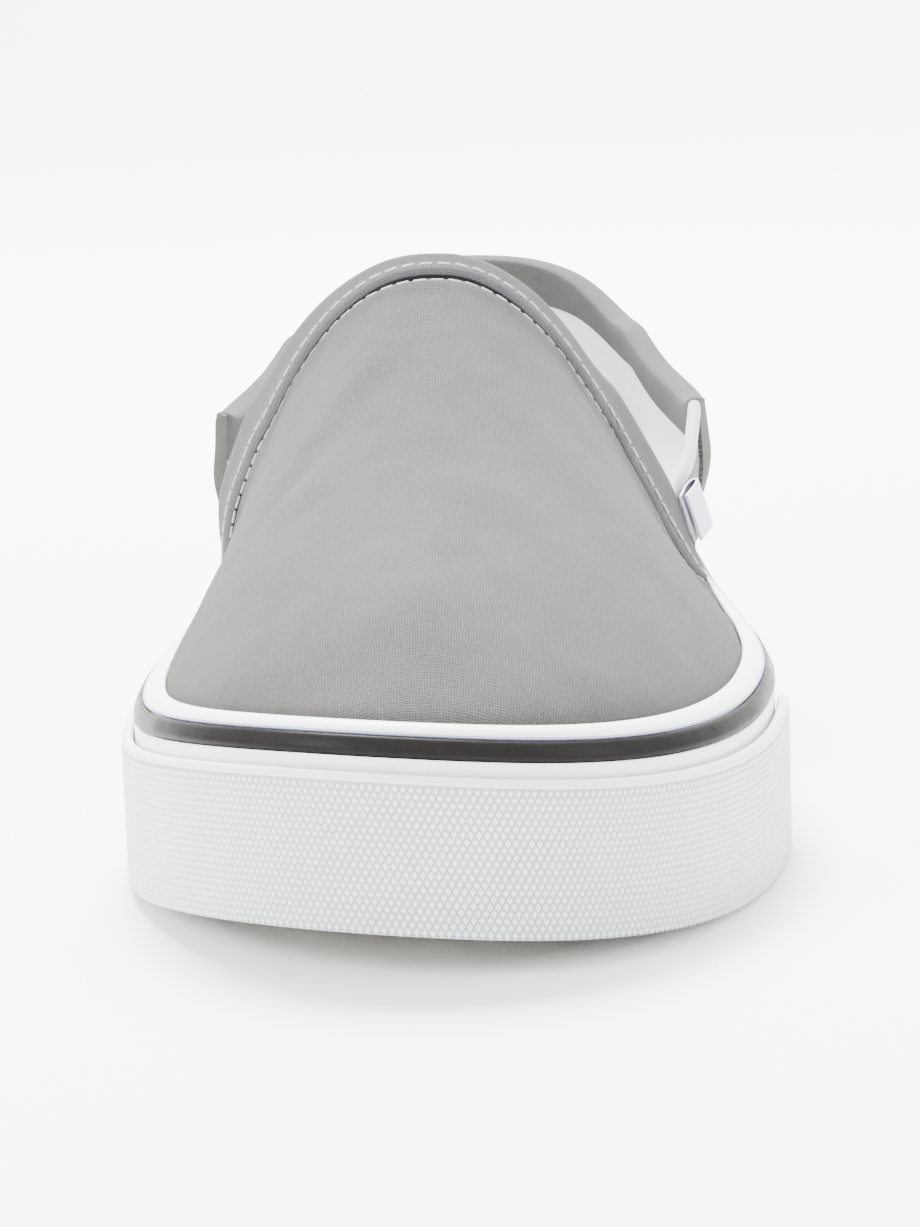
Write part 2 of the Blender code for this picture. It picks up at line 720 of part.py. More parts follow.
def make_outsole():
    """The sole's core with its tread: a rim, rows of diamond lugs and two plain pads."""
    inset = FOXING_THICKNESS + GAP
    core = plate("outsole", inset, lambda a, n, t: LUG_DEPTH, lambda a, n, t: CORE_TOP, 5)
    places = ring_places()
    points, normals = ring_frame(places)
    high = LUG_DEPTH + LUG_ROOT
    verts, faces = [], []
    near, far = TREAD_RIM_INSET, TREAD_RIM_INSET + TREAD_RIM_WIDTH
    for p, n in zip(points, normals):
        for depth, z in ((near, 0.0), (far, 0.0), (far, high), (near, high)):
            x, y = p - n * depth
            verts.append((x, y, z))
    for n in range(len(places)):
        m = (n + 1) % len(places)
        for c in range(4):
            d = (c + 1) % 4
            faces.append((4 * n + c, 4 * m + c, 4 * m + d, 4 * n + d))
    border = [tuple(p - n * (far + 0.0012)) for p, n in zip(points, normals)]
    pads = [(0.0, -0.172 * SHOE_LENGTH), (-0.018 * BALL_WIDTH, 0.359 * SHOE_LENGTH)]
    for px, py in pads:
        circle = [(px + TREAD_PAD_RADIUS * math.cos(2 * math.pi * j / 16),
                   py + TREAD_PAD_RADIUS * math.sin(2 * math.pi * j / 16)) for j in range(16)]
        prism(verts, faces, circle, 0.0, high)
    rows = int(SHOE_LENGTH / LUG_PITCH_Y) + 1
    columns = int(BALL_WIDTH / LUG_PITCH_X) + 1
    for r in range(-rows, rows + 1):
        for c in range(-columns, columns + 1):
            x = (c + 0.5 * (r % 2)) * LUG_PITCH_X
            y = r * LUG_PITCH_Y / 2
            lug = [(x - LUG_WIDTH / 2, y), (x, y - LUG_LENGTH / 2),
                   (x + LUG_WIDTH / 2, y), (x, y + LUG_LENGTH / 2)]
            clear = all(math.hypot(x - px, y - py) > TREAD_PAD_RADIUS + LUG_LENGTH * 0.6
                        for px, py in pads)
            if clear and all(inside(border, p) for p in lug):
                prism(verts, faces, lug, 0.0, high)
    lugs = make_object("lug_cutter", verts, faces)
    for vert in lugs.data.vertices:
        vert.co.z += float(lift(vert.co.x, vert.co.y))
    lugs.hide_render = True
    lugs.display_type = "WIRE"
    joint = core.modifiers.new("tread", "BOOLEAN")
    joint.operation = "UNION"
    joint.solver = "EXACT"
    joint.object = lugs
    return core


def make_side_tag():
    """A blank ribbon folded into a loop behind the lower outer end of the throat band."""
    top = float(top_height(GORE_FRONT_TOP))
    mid = SIDE_HEIGHT + (top - SIDE_HEIGHT) * TAG_PLACE
    ends = []
    for z, back in ((mid - TAG_WIDTH / 2, 0.0), (mid + TAG_WIDTH / 2, 0.0), (mid, TAG_LENGTH)):
        frame = side_frame(notch_front(z) + back / SHOE_LENGTH, 1)
        ends.append(dome_point(frame, np.array([height_share(frame, z)]))[0])
    foot, head, rear = ends
    up = (head - foot) / np.linalg.norm(head - foot)
    back = rear - (foot + head) / 2
    back = back - up * float(back @ up)
    back /= np.linalg.norm(back)
    out = np.cross(back, up)
    out = out if out[0] > 0 else -out
    outer, inner = [], []
    turns = 9
    for n in range(turns + 1):
        a = math.pi * (n / turns)
        along = TAG_LENGTH * math.sin(a) ** 0.8
        wide = -TAG_LOOP / 2 * math.cos(a) * (TAG_NECK + (1 - TAG_NECK) * math.sin(a))
        outer.append((along, wide))
    outer = np.array(outer)
    tangent = np.gradient(outer, axis=0)
    tangent /= np.linalg.norm(tangent, axis=1)[:, None]
    normal = np.stack([-tangent[:, 1], tangent[:, 0]], axis=1)
    inner = outer + normal * TAG_THICKNESS
    rest = GAP * 2 + BAND_THICKNESS + TAG_NECK * TAG_LOOP / 2 + TAG_THICKNESS
    start = foot + out * rest - back * TAG_SEAT
    verts, faces = [], []
    loop = list(outer) + list(reversed(inner))
    for height in (0.0, 1.0):
        for a, w in loop:
            verts.append(tuple(start + up * TAG_WIDTH * height + back * a + out * w))
    count = len(loop)
    half = len(outer)
    for c in range(count):
        d = (c + 1) % count
        faces.append((c, d, count + d, count + c))
    for n in range(half - 1):
        a, b = n, n + 1
        c, d = count - 1 - n - 1, count - 1 - n
        faces.append((a, b, c, d))
        faces.append((count + d, count + c, count + b, count + a))
    return make_object("side_tag", verts, faces)


def paint(obj, name, color, roughness):
    """Gives an object its material."""
    material = bpy.data.materials.new(name)
    material.use_nodes = True
    shader = material.node_tree.nodes["Principled BSDF"]
    shader.inputs["Base Color"].default_value = (*color, 1.0)
    shader.inputs["Roughness"].default_value = roughness
    shader.inputs["Metallic"].default_value = 0.0
    obj.data.materials.clear()
    obj.data.materials.append(material)


def main():
    for obj in list(bpy.data.objects):
        bpy.data.objects.remove(obj, do_unlink=True)
    canvas, white, black = (0.36, 0.36, 0.34), (0.80, 0.82, 0.82), (0.015, 0.015, 0.017)
    bumper_end = BALL_INDEX - 0.55
    front = list(range(-BALL_INDEX + 1, BALL_INDEX))
    bumper_places = [-bumper_end] + front + [bumper_end]
    pieces = [
        (make_outsole(), "outsole_rubber", (0.74, 0.72, 0.66), 0.60),
        (closed_ring("foxing", foxing_section), "foxing_rubber", white, 0.42),
        (closed_ring("foxing_stripe", stripe_section), "stripe_rubber", black, 0.22),
        (section_ring("toe_bumper", bumper_places, bumper_section), "bumper_rubber", white, 0.48),
        (make_upper(), "upper_canvas", canvas, 0.90),
        (make_throat_band(), "band_canvas", canvas, 0.90),
        (make_gore("gore_lateral", 1), "gore_lateral_elastic", (0.42, 0.42, 0.40), 0.88),
        (make_gore("gore_medial", -1), "gore_medial_elastic", (0.42, 0.42, 0.40), 0.88),
        (make_collar(), "collar_canvas", canvas, 0.90),
        (make_heel_stay(), "stay_canvas", canvas, 0.90),
        (make_insole(), "insole_fabric", (0.72, 0.72, 0.70), 0.85),
        (make_side_tag(), "tag_ribbon", (0.80, 0.80, 0.84), 0.60),
    ]
    for obj, name, color, roughness in pieces:
        paint(obj, name, color, roughness)
    points = np.array([v.co[:] for obj, *_ in pieces for v in obj.data.vertices])
    middle = (points.min(axis=0) + points.max(axis=0)) / 2
    for obj in list(bpy.data.objects):
        for vert in obj.data.vertices:
            vert.co.x -= middle[0]
            vert.co.y -= middle[1]


main()
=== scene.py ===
"""Looks of a left slip-on canvas sneaker: woven upper, bound throat, rubber side band and studio.

The toe points towards -Y and the outer side towards +X. Every length is in metres.
"""
import sys

import json
import logging
import math
from collections.abc import Callable
from dataclasses import dataclass, field
from enum import Enum

import bpy
import numpy as np
from mathutils import Matrix, Vector

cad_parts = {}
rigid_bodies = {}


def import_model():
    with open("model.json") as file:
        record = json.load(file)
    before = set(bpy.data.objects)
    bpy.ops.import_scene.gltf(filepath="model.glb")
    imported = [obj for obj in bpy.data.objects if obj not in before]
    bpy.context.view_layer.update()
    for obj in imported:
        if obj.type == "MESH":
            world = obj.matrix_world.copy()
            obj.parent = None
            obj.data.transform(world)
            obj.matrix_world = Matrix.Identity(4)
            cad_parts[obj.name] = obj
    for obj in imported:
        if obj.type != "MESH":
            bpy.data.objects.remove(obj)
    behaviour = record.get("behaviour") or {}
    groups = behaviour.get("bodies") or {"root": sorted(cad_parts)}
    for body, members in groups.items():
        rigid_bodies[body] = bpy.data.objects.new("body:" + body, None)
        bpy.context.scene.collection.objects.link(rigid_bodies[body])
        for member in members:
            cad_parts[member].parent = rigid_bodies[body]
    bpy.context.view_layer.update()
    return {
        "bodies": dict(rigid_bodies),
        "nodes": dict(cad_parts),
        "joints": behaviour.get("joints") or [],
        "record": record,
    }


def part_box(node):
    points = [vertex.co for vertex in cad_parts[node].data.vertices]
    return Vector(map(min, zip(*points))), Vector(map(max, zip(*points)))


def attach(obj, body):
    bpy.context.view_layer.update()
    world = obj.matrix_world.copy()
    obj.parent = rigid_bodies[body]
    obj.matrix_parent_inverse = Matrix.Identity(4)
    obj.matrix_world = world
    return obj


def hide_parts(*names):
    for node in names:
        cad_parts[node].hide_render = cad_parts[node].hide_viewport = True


log = logging.getLogger("sneaker")

Color = tuple[float, float, float]
Value = float | bpy.types.NodeSocket
Field = Callable[[np.ndarray], np.ndarray]
Section = Callable[[float], np.ndarray]


class Side(Enum):
    """The two sides of the shoe, by the sign of their x."""

    INNER = -1
    OUTER = 1


# The surface of the last


@dataclass(frozen=True)
class Last:
    """Shape of the shoe's last, from which every piece takes its surface."""

    length: float = 0.290
    ball: float = 0.107
    instep: float = 0.0915
    heel: float = 0.077
    side: float = 0.0309
    spring: float = 0.0063
    twist: float = 0.0042
    core_top: float = 0.0130
    foxing: float = 0.0026
    bumper: float = 0.0019
    wall: float = 0.0018
    ledge: float = 0.0026
    gap: float = 0.0003
    tip_x: float = 0.0187
    spring_start: float = -0.267
    spring_curve: float = 1.79
    twist_curve: float = 1.2
    flare_rise: float = 0.22
    round_heel: float = 2.25
    spine_toe: float = -0.362
    apex: float = -0.0345
    toe_columns: int = 12
    heel_columns: int = 8
    wall_rows: tuple[float, ...] = (0.58, 0.74, 0.88)
    round_toe: dict[int, float] = field(default_factory=lambda: {-1: 2.17, 1: 2.11})
    # y over the length, inner and outer side over the ball width
    outline_rows: tuple[tuple[float, ...], ...] = (
        (-0.194, -0.461, 0.498),
        (-0.138, -0.459, 0.492),
        (-0.069, -0.449, 0.473),
        (0.000, -0.434, 0.453),
        (0.069, -0.423, 0.434),
        (0.207, -0.417, 0.407),
        (0.328, -0.400, 0.370),
    )
    # y, ridge x, ridge z, round inner, round outer, lean, flare inner, flare outer
    section_rows: tuple[tuple[float, ...], ...] = (
        (-0.492, 0.010, 0.470, 1.90, 1.90, 1.00, 0.000, 0.000),
        (-0.414, 0.004, 0.545, 1.75, 1.75, 1.00, 0.000, 0.000),
        (-0.310, -0.006, 0.622, 1.45, 1.40, 1.00, 0.000, 0.000),
        (-0.207, -0.015, 0.722, 1.15, 1.08, 0.95, 0.000, 0.000),
        (-0.103, -0.021, 0.872, 0.98, 0.80, 0.80, 0.004, 0.000),
        (-0.034, -0.022, 1.000, 0.94, 0.66, 0.60, 0.008, 0.002),
        (0.000, -0.022, 1.131, 0.95, 0.62, 0.50, 0.022, 0.004),
        (0.034, -0.020, 1.366, 1.05, 0.76, 0.42, 0.044, 0.020),
        (0.069, -0.018, 1.640, 1.20, 1.05, 0.40, 0.054, 0.040),
        (0.155, -0.014, 1.960, 1.45, 1.40, 0.40, 0.066, 0.060),
        (0.276, -0.016, 1.750, 1.42, 1.42, 0.40, 0.040, 0.040),
        (0.379, -0.016, 1.540, 1.34, 1.34, 0.40, 0.014, 0.014),
        (0.500, -0.016, 1.640, 1.50, 1.50, 0.40, 0.010, 0.010),
    )
    # y, how much of the height is the instep's, share of that height
    topline_rows: tuple[tuple[float, ...], ...] = (
        (-0.0345, 1.00, 1.000),
        (-0.0207, 1.00, 0.949),
        (-0.0069, 1.00, 0.863),
        (0.0035, 1.00, 0.776),
        (0.0138, 0.90, 0.738),
        (0.0414, 0.70, 0.731),
        (0.0690, 0.60, 0.729),
        (0.1034, 0.50, 0.718),
        (0.1552, 0.40, 0.706),
        (0.2069, 0.30, 0.725),
        (0.2759, 0.20, 0.776),
        (0.3448, 0.10, 0.872),
        (0.4138, 0.00, 0.938),
        (0.4724, 0.00, 0.990),
        (0.5000, 0.00, 1.000),
    )
    # Gore notch: front top, front foot, rear foot and rear top, y over the length
    notch: tuple[float, ...] = (0.0138, 0.0370, 0.0660, 0.1034)
    notch_foot: float = 0.16
    gore_low: float = 0.45
    middle: tuple[float, ...] = (
        -0.194, -0.152, -0.118, -0.088, -0.066, -0.049, -0.0345, -0.0330, -0.0293,
        -0.0235, -0.0160, -0.0075, 0.0030, 0.0138, 0.0195, 0.0253, 0.0311, 0.0370,
        0.0515, 0.0660, 0.0753, 0.0847, 0.0940, 0.1034, 0.1380, 0.1900, 0.2410,
        0.2850, 0.328)

    @property
    def heel_index(self) -> int:
        """Column where the heel's cap starts."""
        return self.toe_columns + len(self.middle) - 1

    @property
    def last(self) -> int:
        """Column at the middle of the heel."""
        return self.heel_index + self.heel_columns

    @property
    def foot(self) -> float:
        """Height of the upper's lowest edge."""
        return self.core_top + self.gap

    def column(self, share: float) -> float:
        """Column number at a share of the length behind the ball."""
        return self.toe_columns + float(np.interp(share, self.middle, range(len(self.middle))))

    def smooth(self, rows: tuple, column: int, y: float | np.ndarray) -> np.ndarray:
        """Reads a table through a smooth curve.

        Args:
            rows: Table whose first column rises.
            column: Column to read.
            y: Where to read it.

        Returns:
            The column's value at y.
        """
        xs = np.array([row[0] for row in rows])
        vs = np.array([row[column] for row in rows])
        slopes = np.diff(vs) / np.diff(xs)
        tangents = np.zeros(len(xs))
        same = slopes[:-1] * slopes[1:] > 0
        mean = 2.0 * slopes[:-1] * slopes[1:] / np.where(same, slopes[:-1] + slopes[1:], 1.0)
        tangents[1:-1] = np.where(same, mean, 0.0)
        y = np.clip(y, xs[0], xs[-1])
        i = np.clip(np.searchsorted(xs, y) - 1, 0, len(xs) - 2)
        h = xs[i + 1] - xs[i]
        t = (y - xs[i]) / h
        a = vs[i] * (1 + 2 * t) * (1 - t) ** 2 + vs[i + 1] * t * t * (3 - 2 * t)
        return a + h * (tangents[i] * t * (1 - t) ** 2 - tangents[i + 1] * t * t * (1 - t))

    def lift(self, x: np.ndarray, y: np.ndarray) -> np.ndarray:
        """Height of the toe spring at points seen from above.

        Args:
            x: Places across the shoe, in metres.
            y: Places along the shoe, in metres.

        Returns:
            Heights over the floor.
        """
        u = np.clip((self.spring_start - y / self.length) / (self.spring_start + 0.5), 0.0, 1.0)
        twist = self.twist * x / (self.ball / 2) * u ** self.twist_curve
        return self.spring * u ** self.spring_curve - twist

    def outline_point(self, k: float, side: int) -> tuple[float, float]:
        """Point of the side band's outer face on one column, from above.

        Args:
            k: Column number.
            side: Side of the shoe, -1 for inner and 1 for outer.

        Returns:
            The point's x and y.
        """
        first = self.outline_rows[0]
        start = first[0] * self.length
        half = (first[2] - first[1]) / 2 * self.ball
        ball_x = (first[2] + first[1]) / 2 * self.ball
        if k < self.toe_columns:
            tip = -self.length / 2 + self.gap + self.bumper
            phi = math.pi / 2 * k / self.toe_columns
            power = 2.0 / self.round_toe[side]
            along = math.cos(phi) ** power
            centre = ball_x + (self.tip_x * self.ball - ball_x) * along
            return centre + side * half * math.sin(phi) ** power, start - along * (start - tip)
        if k <= self.heel_index:
            share = np.interp(k - self.toe_columns, range(len(self.middle)), self.middle)
            column = 1 if side < 0 else 2
            x = float(self.smooth(self.outline_rows, column, share)) * self.ball
            return x, share * self.length
        phi = math.pi / 2 * (self.last - k) / self.heel_columns
        power = 2.0 / self.round_heel
        row = self.outline_rows[-1]
        half = (row[2] - row[1]) / 2 * self.ball
        centre = (row[2] + row[1]) / 2 * self.ball
        start = row[0] * self.length
        return (centre + side * half * math.sin(phi) ** power,
                start + (self.length / 2 - start) * math.cos(phi) ** power)

    def ring_index(self, i: float) -> tuple[float, int]:
        """Column number and side of place i on the ring, which starts at the tip."""
        i = i % (2 * self.last)
        return (i, 1) if i <= self.last else (2 * self.last - i, -1)

    def ring_frame(self, places: list[float]) -> tuple[np.ndarray, np.ndarray]:
        """Outline points and outward normals at places of the ring.

        Args:
            places: Places on the ring.

        Returns:
            Points and outward normals.
        """
        step = 0.05
        points, normals = [], []
        for i in places:
            after = np.array(self.outline_point(*self.ring_index(i + step)))
            before = np.array(self.outline_point(*self.ring_index(i - step)))
            along = after - before
            points.append(self.outline_point(*self.ring_index(i)))
            normals.append(np.array([along[1], -along[0]]) / np.linalg.norm(along))
        return np.array(points), np.array(normals)

    def wall_inset(self, z: np.ndarray, lean: float) -> np.ndarray:
        """How far the upper's outer face lies inside the side band's at height z.

        Args:
            z: Height, in metres.
            lean: How far the wall leans inwards, from 0 to 1.

        Returns:
            Insets, in metres.
        """
        start = self.side * self.wall_rows[0]
        t = np.clip((z - start) / (self.side - start), 0.0, 1.0)
        return self.foxing + self.gap + self.ledge * lean * t * t

    def spine_point(self, k: float) -> np.ndarray:
        """Point of the ridge that column k runs to, from above.

        Args:
            k: Column number.

        Returns:
            The point's x and y.
        """
        if k < self.toe_columns:
            reach = (k / self.toe_columns) ** 1.3
            share = self.spine_toe + (self.middle[0] - self.spine_toe) * reach
        elif k <= self.heel_index:
            share = float(np.interp(k - self.toe_columns, range(len(self.middle)), self.middle))
        else:
            share = self.middle[-1] + 0.03 * (k - self.heel_index) / self.heel_columns
        x = float(self.smooth(self.section_rows, 1, share)) * self.ball
        return np.array([x, share * self.length])

    def column_frame(self, i: float) -> "Column":
        """Sizes that every point of the upper on ring place i shares.

        Args:
            i: Place on the ring.

        Returns:
            The column's sizes.
        """
        k, side = self.ring_index(i)
        points, normals = self.ring_frame([i])
        share = points[0][1] / self.length
        rows = self.section_rows
        lean = float(self.smooth(rows, 5, share))
        edge = points[0] - normals[0] * self.wall_inset(self.side, lean)
        spine = self.spine_point(k)
        middle = (share + spine[1] / self.length) / 2
        roundness = float(self.smooth(rows, 3 if side < 0 else 4, middle))
        flare = float(self.smooth(rows, 6 if side < 0 else 7, share)) * self.ball
        if k > self.heel_index:
            both = float(self.smooth(rows, 6, share) + self.smooth(rows, 7, share))
            flare = both * self.ball / 2
        base = self.side + float(self.lift(edge[0], edge[1]))
        return Column(k, side, points[0], normals[0], lean, edge, spine, roundness, flare, base)

    def dome_point(self, column: "Column", h: np.ndarray) -> np.ndarray:
        """Points of the upper's outer face at shares h of the way up to the ridge.

        Args:
            column: Column that the points lie on.
            h: Shares of the way up to the ridge.

        Returns:
            Points in the last's own frame.
        """
        h = np.asarray(h, float)
        rho = np.sqrt(np.clip(1.0 - h ** column.roundness, 0.0, 1.0))
        xy = column.spine + (column.edge - column.spine) * rho[..., None]
        ridge = self.smooth(self.section_rows, 2, xy[..., 1] / self.length) * self.instep
        z = column.base + (ridge - column.base) * h
        rise = np.clip((z - column.base) / (self.flare_rise * self.instep), 0.0, 1.0)
        side = np.clip(rho / 0.6, 0.0, 1.0)
        out = column.flare * rise * rise * (3 - 2 * rise) * side * side * (3 - 2 * side)
        xy = xy + column.normal * out[..., None]
        return np.concatenate([xy, z[..., None]], axis=-1)

    def top_height(self, share: float) -> float:
        """Height of the upper's top edge at a share of the length.

        Args:
            share: Share of the length behind the ball.

        Returns:
            Height in metres.
        """
        instep = float(self.smooth(self.topline_rows, 1, share))
        mixed = instep * self.instep + (1 - instep) * self.heel
        return float(self.smooth(self.topline_rows, 2, share)) * mixed

    def notch_height(self, share: float, grow: float = 0.0) -> float:
        """Height of the gore notch's edge, or of the top edge outside the notch.

        Args:
            share: Share of the length behind the ball.
            grow: How far the notch is narrowed, in metres.

        Returns:
            Height in metres.
        """
        top = self.top_height(share)
        g = grow / self.length
        n = self.notch
        rows = (n[0] + g, n[1] + g, n[2] - g, n[3] - g)
        if not rows[0] < share < rows[3]:
            return top
        foot = self.side + (top - self.side) * self.notch_foot + grow
        return float(np.interp(share, rows, (top, foot, foot, top)))

    def notch_front(self, z: float) -> float:
        """Share of the length at which the notch's front edge is at height z.

        Args:
            z: Height, in metres.

        Returns:
            Share of the length.
        """
        high = self.top_height(self.notch[0])
        low = self.notch_height(self.notch[1])
        return self.notch[0] + (self.notch[1] - self.notch[0]) * (high - z) / (high - low)

    def height_share(self, column: "Column", z: float) -> float:
        """Share h of the dome at which a column's outer face is at height z.

        Args:
            column: Column that the points lie on.
            z: Height, in metres.

        Returns:
            Share of the way up.
        """
        share = column.spine[1] / self.length
        ridge = float(self.smooth(self.section_rows, 2, share)) * self.instep
        return (z - column.base) / (ridge - column.base)

    def dome_line(self, column: "Column", low: float, high: float, count: int) -> np.ndarray:
        """Evenly spaced points of the outer face between two shares of the dome.

        Args:
            column: Column that the points lie on.
            low: First share of the dome.
            high: Last share of the dome.
            count: Number of points.

        Returns:
            The points, from low to high.
        """
        t = np.linspace(0.0, 1.0, 161)
        fine = self.dome_point(column, low + (high - low) * (1 - np.cos(t * math.pi)) / 2)
        run = arc_length(fine)
        where = np.linspace(0.0, run[-1], count)
        return read_along(where, run, fine)

    def side_frame(self, share: float, side: int) -> "Column":
        """Sizes of the column at a share of the length behind the ball."""
        k = self.column(share)
        return self.column_frame(k if side > 0 else 2 * self.last - k)

    def section_point(self, share: float, rho: float) -> np.ndarray:
        """Point of the outer face on a cross section, by its signed way out from the ridge.

        Args:
            share: Share of the length behind the ball.
            rho: Signed way out from the ridge.

        Returns:
            The point.
        """
        column = self.side_frame(share, 1 if rho >= 0 else -1)
        h = (1.0 - rho * rho) ** (1.0 / column.roundness)
        return self.dome_point(column, np.array([h]))[0]

    def fine_ring(self, spacing: float, close: tuple[float, float] = (0.0, 0.0),
                  fine: float = 0.0) -> list[float]:
        """Places round the ring at an even spacing, closer together near the throat.

        Args:
            spacing: Usual distance between places.
            close: Shares of the length between which they lie closer.
            fine: Distance between places there.

        Returns:
            Places from 0 to the whole ring, with both ends.
        """
        places = [0.0]
        for n in range(2 * self.last):
            k = n if n < self.last else 2 * self.last - n - 1
            ends = [[np.array(self.outline_point(j, side)) for j in (k, k + 1)]
                    for side in (-1, 1)]
            share = (ends[1][0][1] + ends[1][1][1]) / 2 / self.length
            step = fine if close[0] < share < close[1] else spacing
            reach = max(float(np.linalg.norm(b - a)) for a, b in ends)
            count = max(1, math.ceil(reach / step))
            places += [n + (c + 1) / count for c in range(count)]
        return places


@dataclass(frozen=True)
class Column:
    """Sizes that the points of one column of the upper share."""

    index: float
    side: int
    outer: np.ndarray
    normal: np.ndarray
    lean: float
    edge: np.ndarray
    spine: np.ndarray
    roundness: float
    flare: float
    base: float


# Meshes


def arc_length(points: np.ndarray) -> np.ndarray:
    """Running length along a line of points."""
    return np.concatenate([[0.0], np.cumsum(np.linalg.norm(np.diff(points, axis=0), axis=1))])


def read_along(where: np.ndarray, run: np.ndarray, rows: np.ndarray) -> np.ndarray:
    """Rows read at places of their running length."""
    return np.stack([np.interp(where, run, rows[:, c]) for c in range(rows.shape[1])], axis=1)


def resample(points: np.ndarray, spacing: float) -> np.ndarray:
    """Evenly spaced points along a line of points.

    Args:
        points: Points of the line.
        spacing: Distance wanted between neighbours.

    Returns:
        The new points, with both ends kept.
    """
    run = arc_length(points)
    where = np.linspace(0.0, run[-1], max(2, int(round(run[-1] / spacing)) + 1))
    return read_along(where, run, points)


def unit(vectors: np.ndarray) -> np.ndarray:
    """Vectors scaled to length one."""
    size = np.linalg.norm(vectors, axis=-1, keepdims=True)
    return vectors / np.where(size > 0, size, 1.0)


def flat_grid(along: np.ndarray, across: np.ndarray) -> np.ndarray:
    """Flat places of a lattice, from its lengths along and across."""
    return np.stack(np.broadcast_arrays(along[:, None], across[None, :]), axis=-1)


def frame_at(x: np.ndarray, y: np.ndarray, z: np.ndarray, spot: np.ndarray) -> Matrix:
    """Matrix of three axes and a place."""
    rows = [(x[c], y[c], z[c], spot[c]) for c in range(3)]
    return Matrix([*rows, (0.0, 0.0, 0.0, 1.0)])


class Workbench:
    """Makes and trims meshes with Blender's own modelling operators."""

    def __init__(self, shift: np.ndarray) -> None:
        """Keeps the shift from the last's own frame to the shoe's frame."""
        self.shift = shift

    @property
    def offset(self) -> np.ndarray:
        """The shift as a step in space."""
        return np.array([self.shift[0], self.shift[1], 0.0])

    @staticmethod
    def pick(obj: bpy.types.Object) -> None:
        """Makes one object the only selected one.

        Args:
            obj: Mesh object to work on.
        """
        bpy.ops.object.select_all(action="DESELECT")
        obj.select_set(True)
        bpy.context.view_layer.objects.active = obj

    def edit(self, obj: bpy.types.Object, *steps: tuple) -> None:
        """Runs edit mode operators on all of a mesh.

        Args:
            obj: Mesh object to work on.
            steps: Pairs of an operator and its settings.
        """
        self.pick(obj)
        bpy.ops.object.mode_set(mode="EDIT")
        bpy.ops.mesh.select_all(action="SELECT")
        for operator, settings in steps:
            operator(**settings)
        bpy.ops.object.mode_set(mode="OBJECT")

    def modify(self, obj: bpy.types.Object, kind: str, **settings: object) -> None:
        """Adds a modifier to an object and applies it at once.

        Args:
            obj: Mesh object to work on.
            kind: Type of modifier.
            settings: Its settings.
        """
        self.pick(obj)
        bpy.ops.object.modifier_add(type=kind)
        modifier = obj.modifiers[-1]
        for key, value in settings.items():
            setattr(modifier, key, value)
        bpy.ops.object.modifier_apply(modifier=modifier.name)

    def sheet(self, name: str, points: np.ndarray, cloth: np.ndarray | None = None,
              flip: bool = False, merge: float = 2e-6) -> bpy.types.Object:
        """Lays a grid on to a lattice of points.

        Args:
            name: Name of the new piece.
            points: Lattice of points, rows by columns by three.
            cloth: Flat place of each point on the cloth, in metres.
            flip: Whether the faces look the other way.
            merge: Distance under which points become one.

        Returns:
            The new mesh object.
        """
        rows, columns = points.shape[:2]
        bpy.ops.object.select_all(action="DESELECT")
        bpy.ops.mesh.primitive_grid_add(x_subdivisions=columns - 1, y_subdivisions=rows - 1,
                                        size=2.0)
        obj = bpy.context.active_object
        obj.name = obj.data.name = name
        mesh = obj.data
        flat = np.empty(len(mesh.vertices) * 3)
        mesh.vertices.foreach_get("co", flat)
        flat = flat.reshape(-1, 3)
        column = np.rint((flat[:, 0] + 1) / 2 * (columns - 1)).astype(int)
        row = np.rint((flat[:, 1] + 1) / 2 * (rows - 1)).astype(int)
        placed = points[row, column] + self.offset
        mesh.vertices.foreach_set("co", placed.ravel())
        if cloth is not None:
            corner = np.empty(len(mesh.loops), dtype=int)
            mesh.loops.foreach_get("vertex_index", corner)
            uv = cloth[row[corner], column[corner]]
            mesh.uv_layers[0].data.foreach_set("uv", uv.astype(np.float32).ravel())
        mesh.uv_layers[0].name = "cloth"
        mesh.update()
        steps: list[tuple] = []
        if merge > 0:
            steps.append((bpy.ops.mesh.remove_doubles, {"threshold": merge}))
        if flip:
            steps.append((bpy.ops.mesh.flip_normals, {}))
        if steps:
            self.edit(obj, *steps)
        return obj

    def close_ends(self, obj: bpy.types.Object) -> None:
        """Fills the open ends of a swept strip.

        Args:
            obj: Mesh object to work on.
        """
        self.pick(obj)
        bpy.ops.object.mode_set(mode="EDIT")
        bpy.ops.mesh.select_mode(type="EDGE")
        bpy.ops.mesh.select_all(action="DESELECT")
        bpy.ops.mesh.select_non_manifold()
        bpy.ops.mesh.edge_face_add()
        bpy.ops.mesh.select_all(action="SELECT")
        bpy.ops.mesh.normals_make_consistent(inside=False)
        bpy.ops.object.mode_set(mode="OBJECT")

    def displace(self, obj: bpy.types.Object, height: Field) -> None:
        """Moves each point along its normal by a height worked out from where it is.

        Args:
            obj: Mesh object to work on.
            height: Gives the height at points of the last.
        """
        mesh = obj.data
        count = len(mesh.vertices)
        co, normal = np.empty(count * 3), np.empty(count * 3)
        mesh.vertices.foreach_get("co", co)
        mesh.vertices.foreach_get("normal", normal)
        co, normal = co.reshape(-1, 3), normal.reshape(-1, 3)
        local = co - self.offset
        mesh.vertices.foreach_set("co", (co + normal * height(local)[:, None]).ravel())
        mesh.update()

    def shade(self, obj: bpy.types.Object, angle: float = 40.0) -> None:
        """Shades an object smooth, with sharp edges above an angle in degrees."""
        self.pick(obj)
        bpy.ops.object.shade_smooth_by_angle(angle=math.radians(angle))

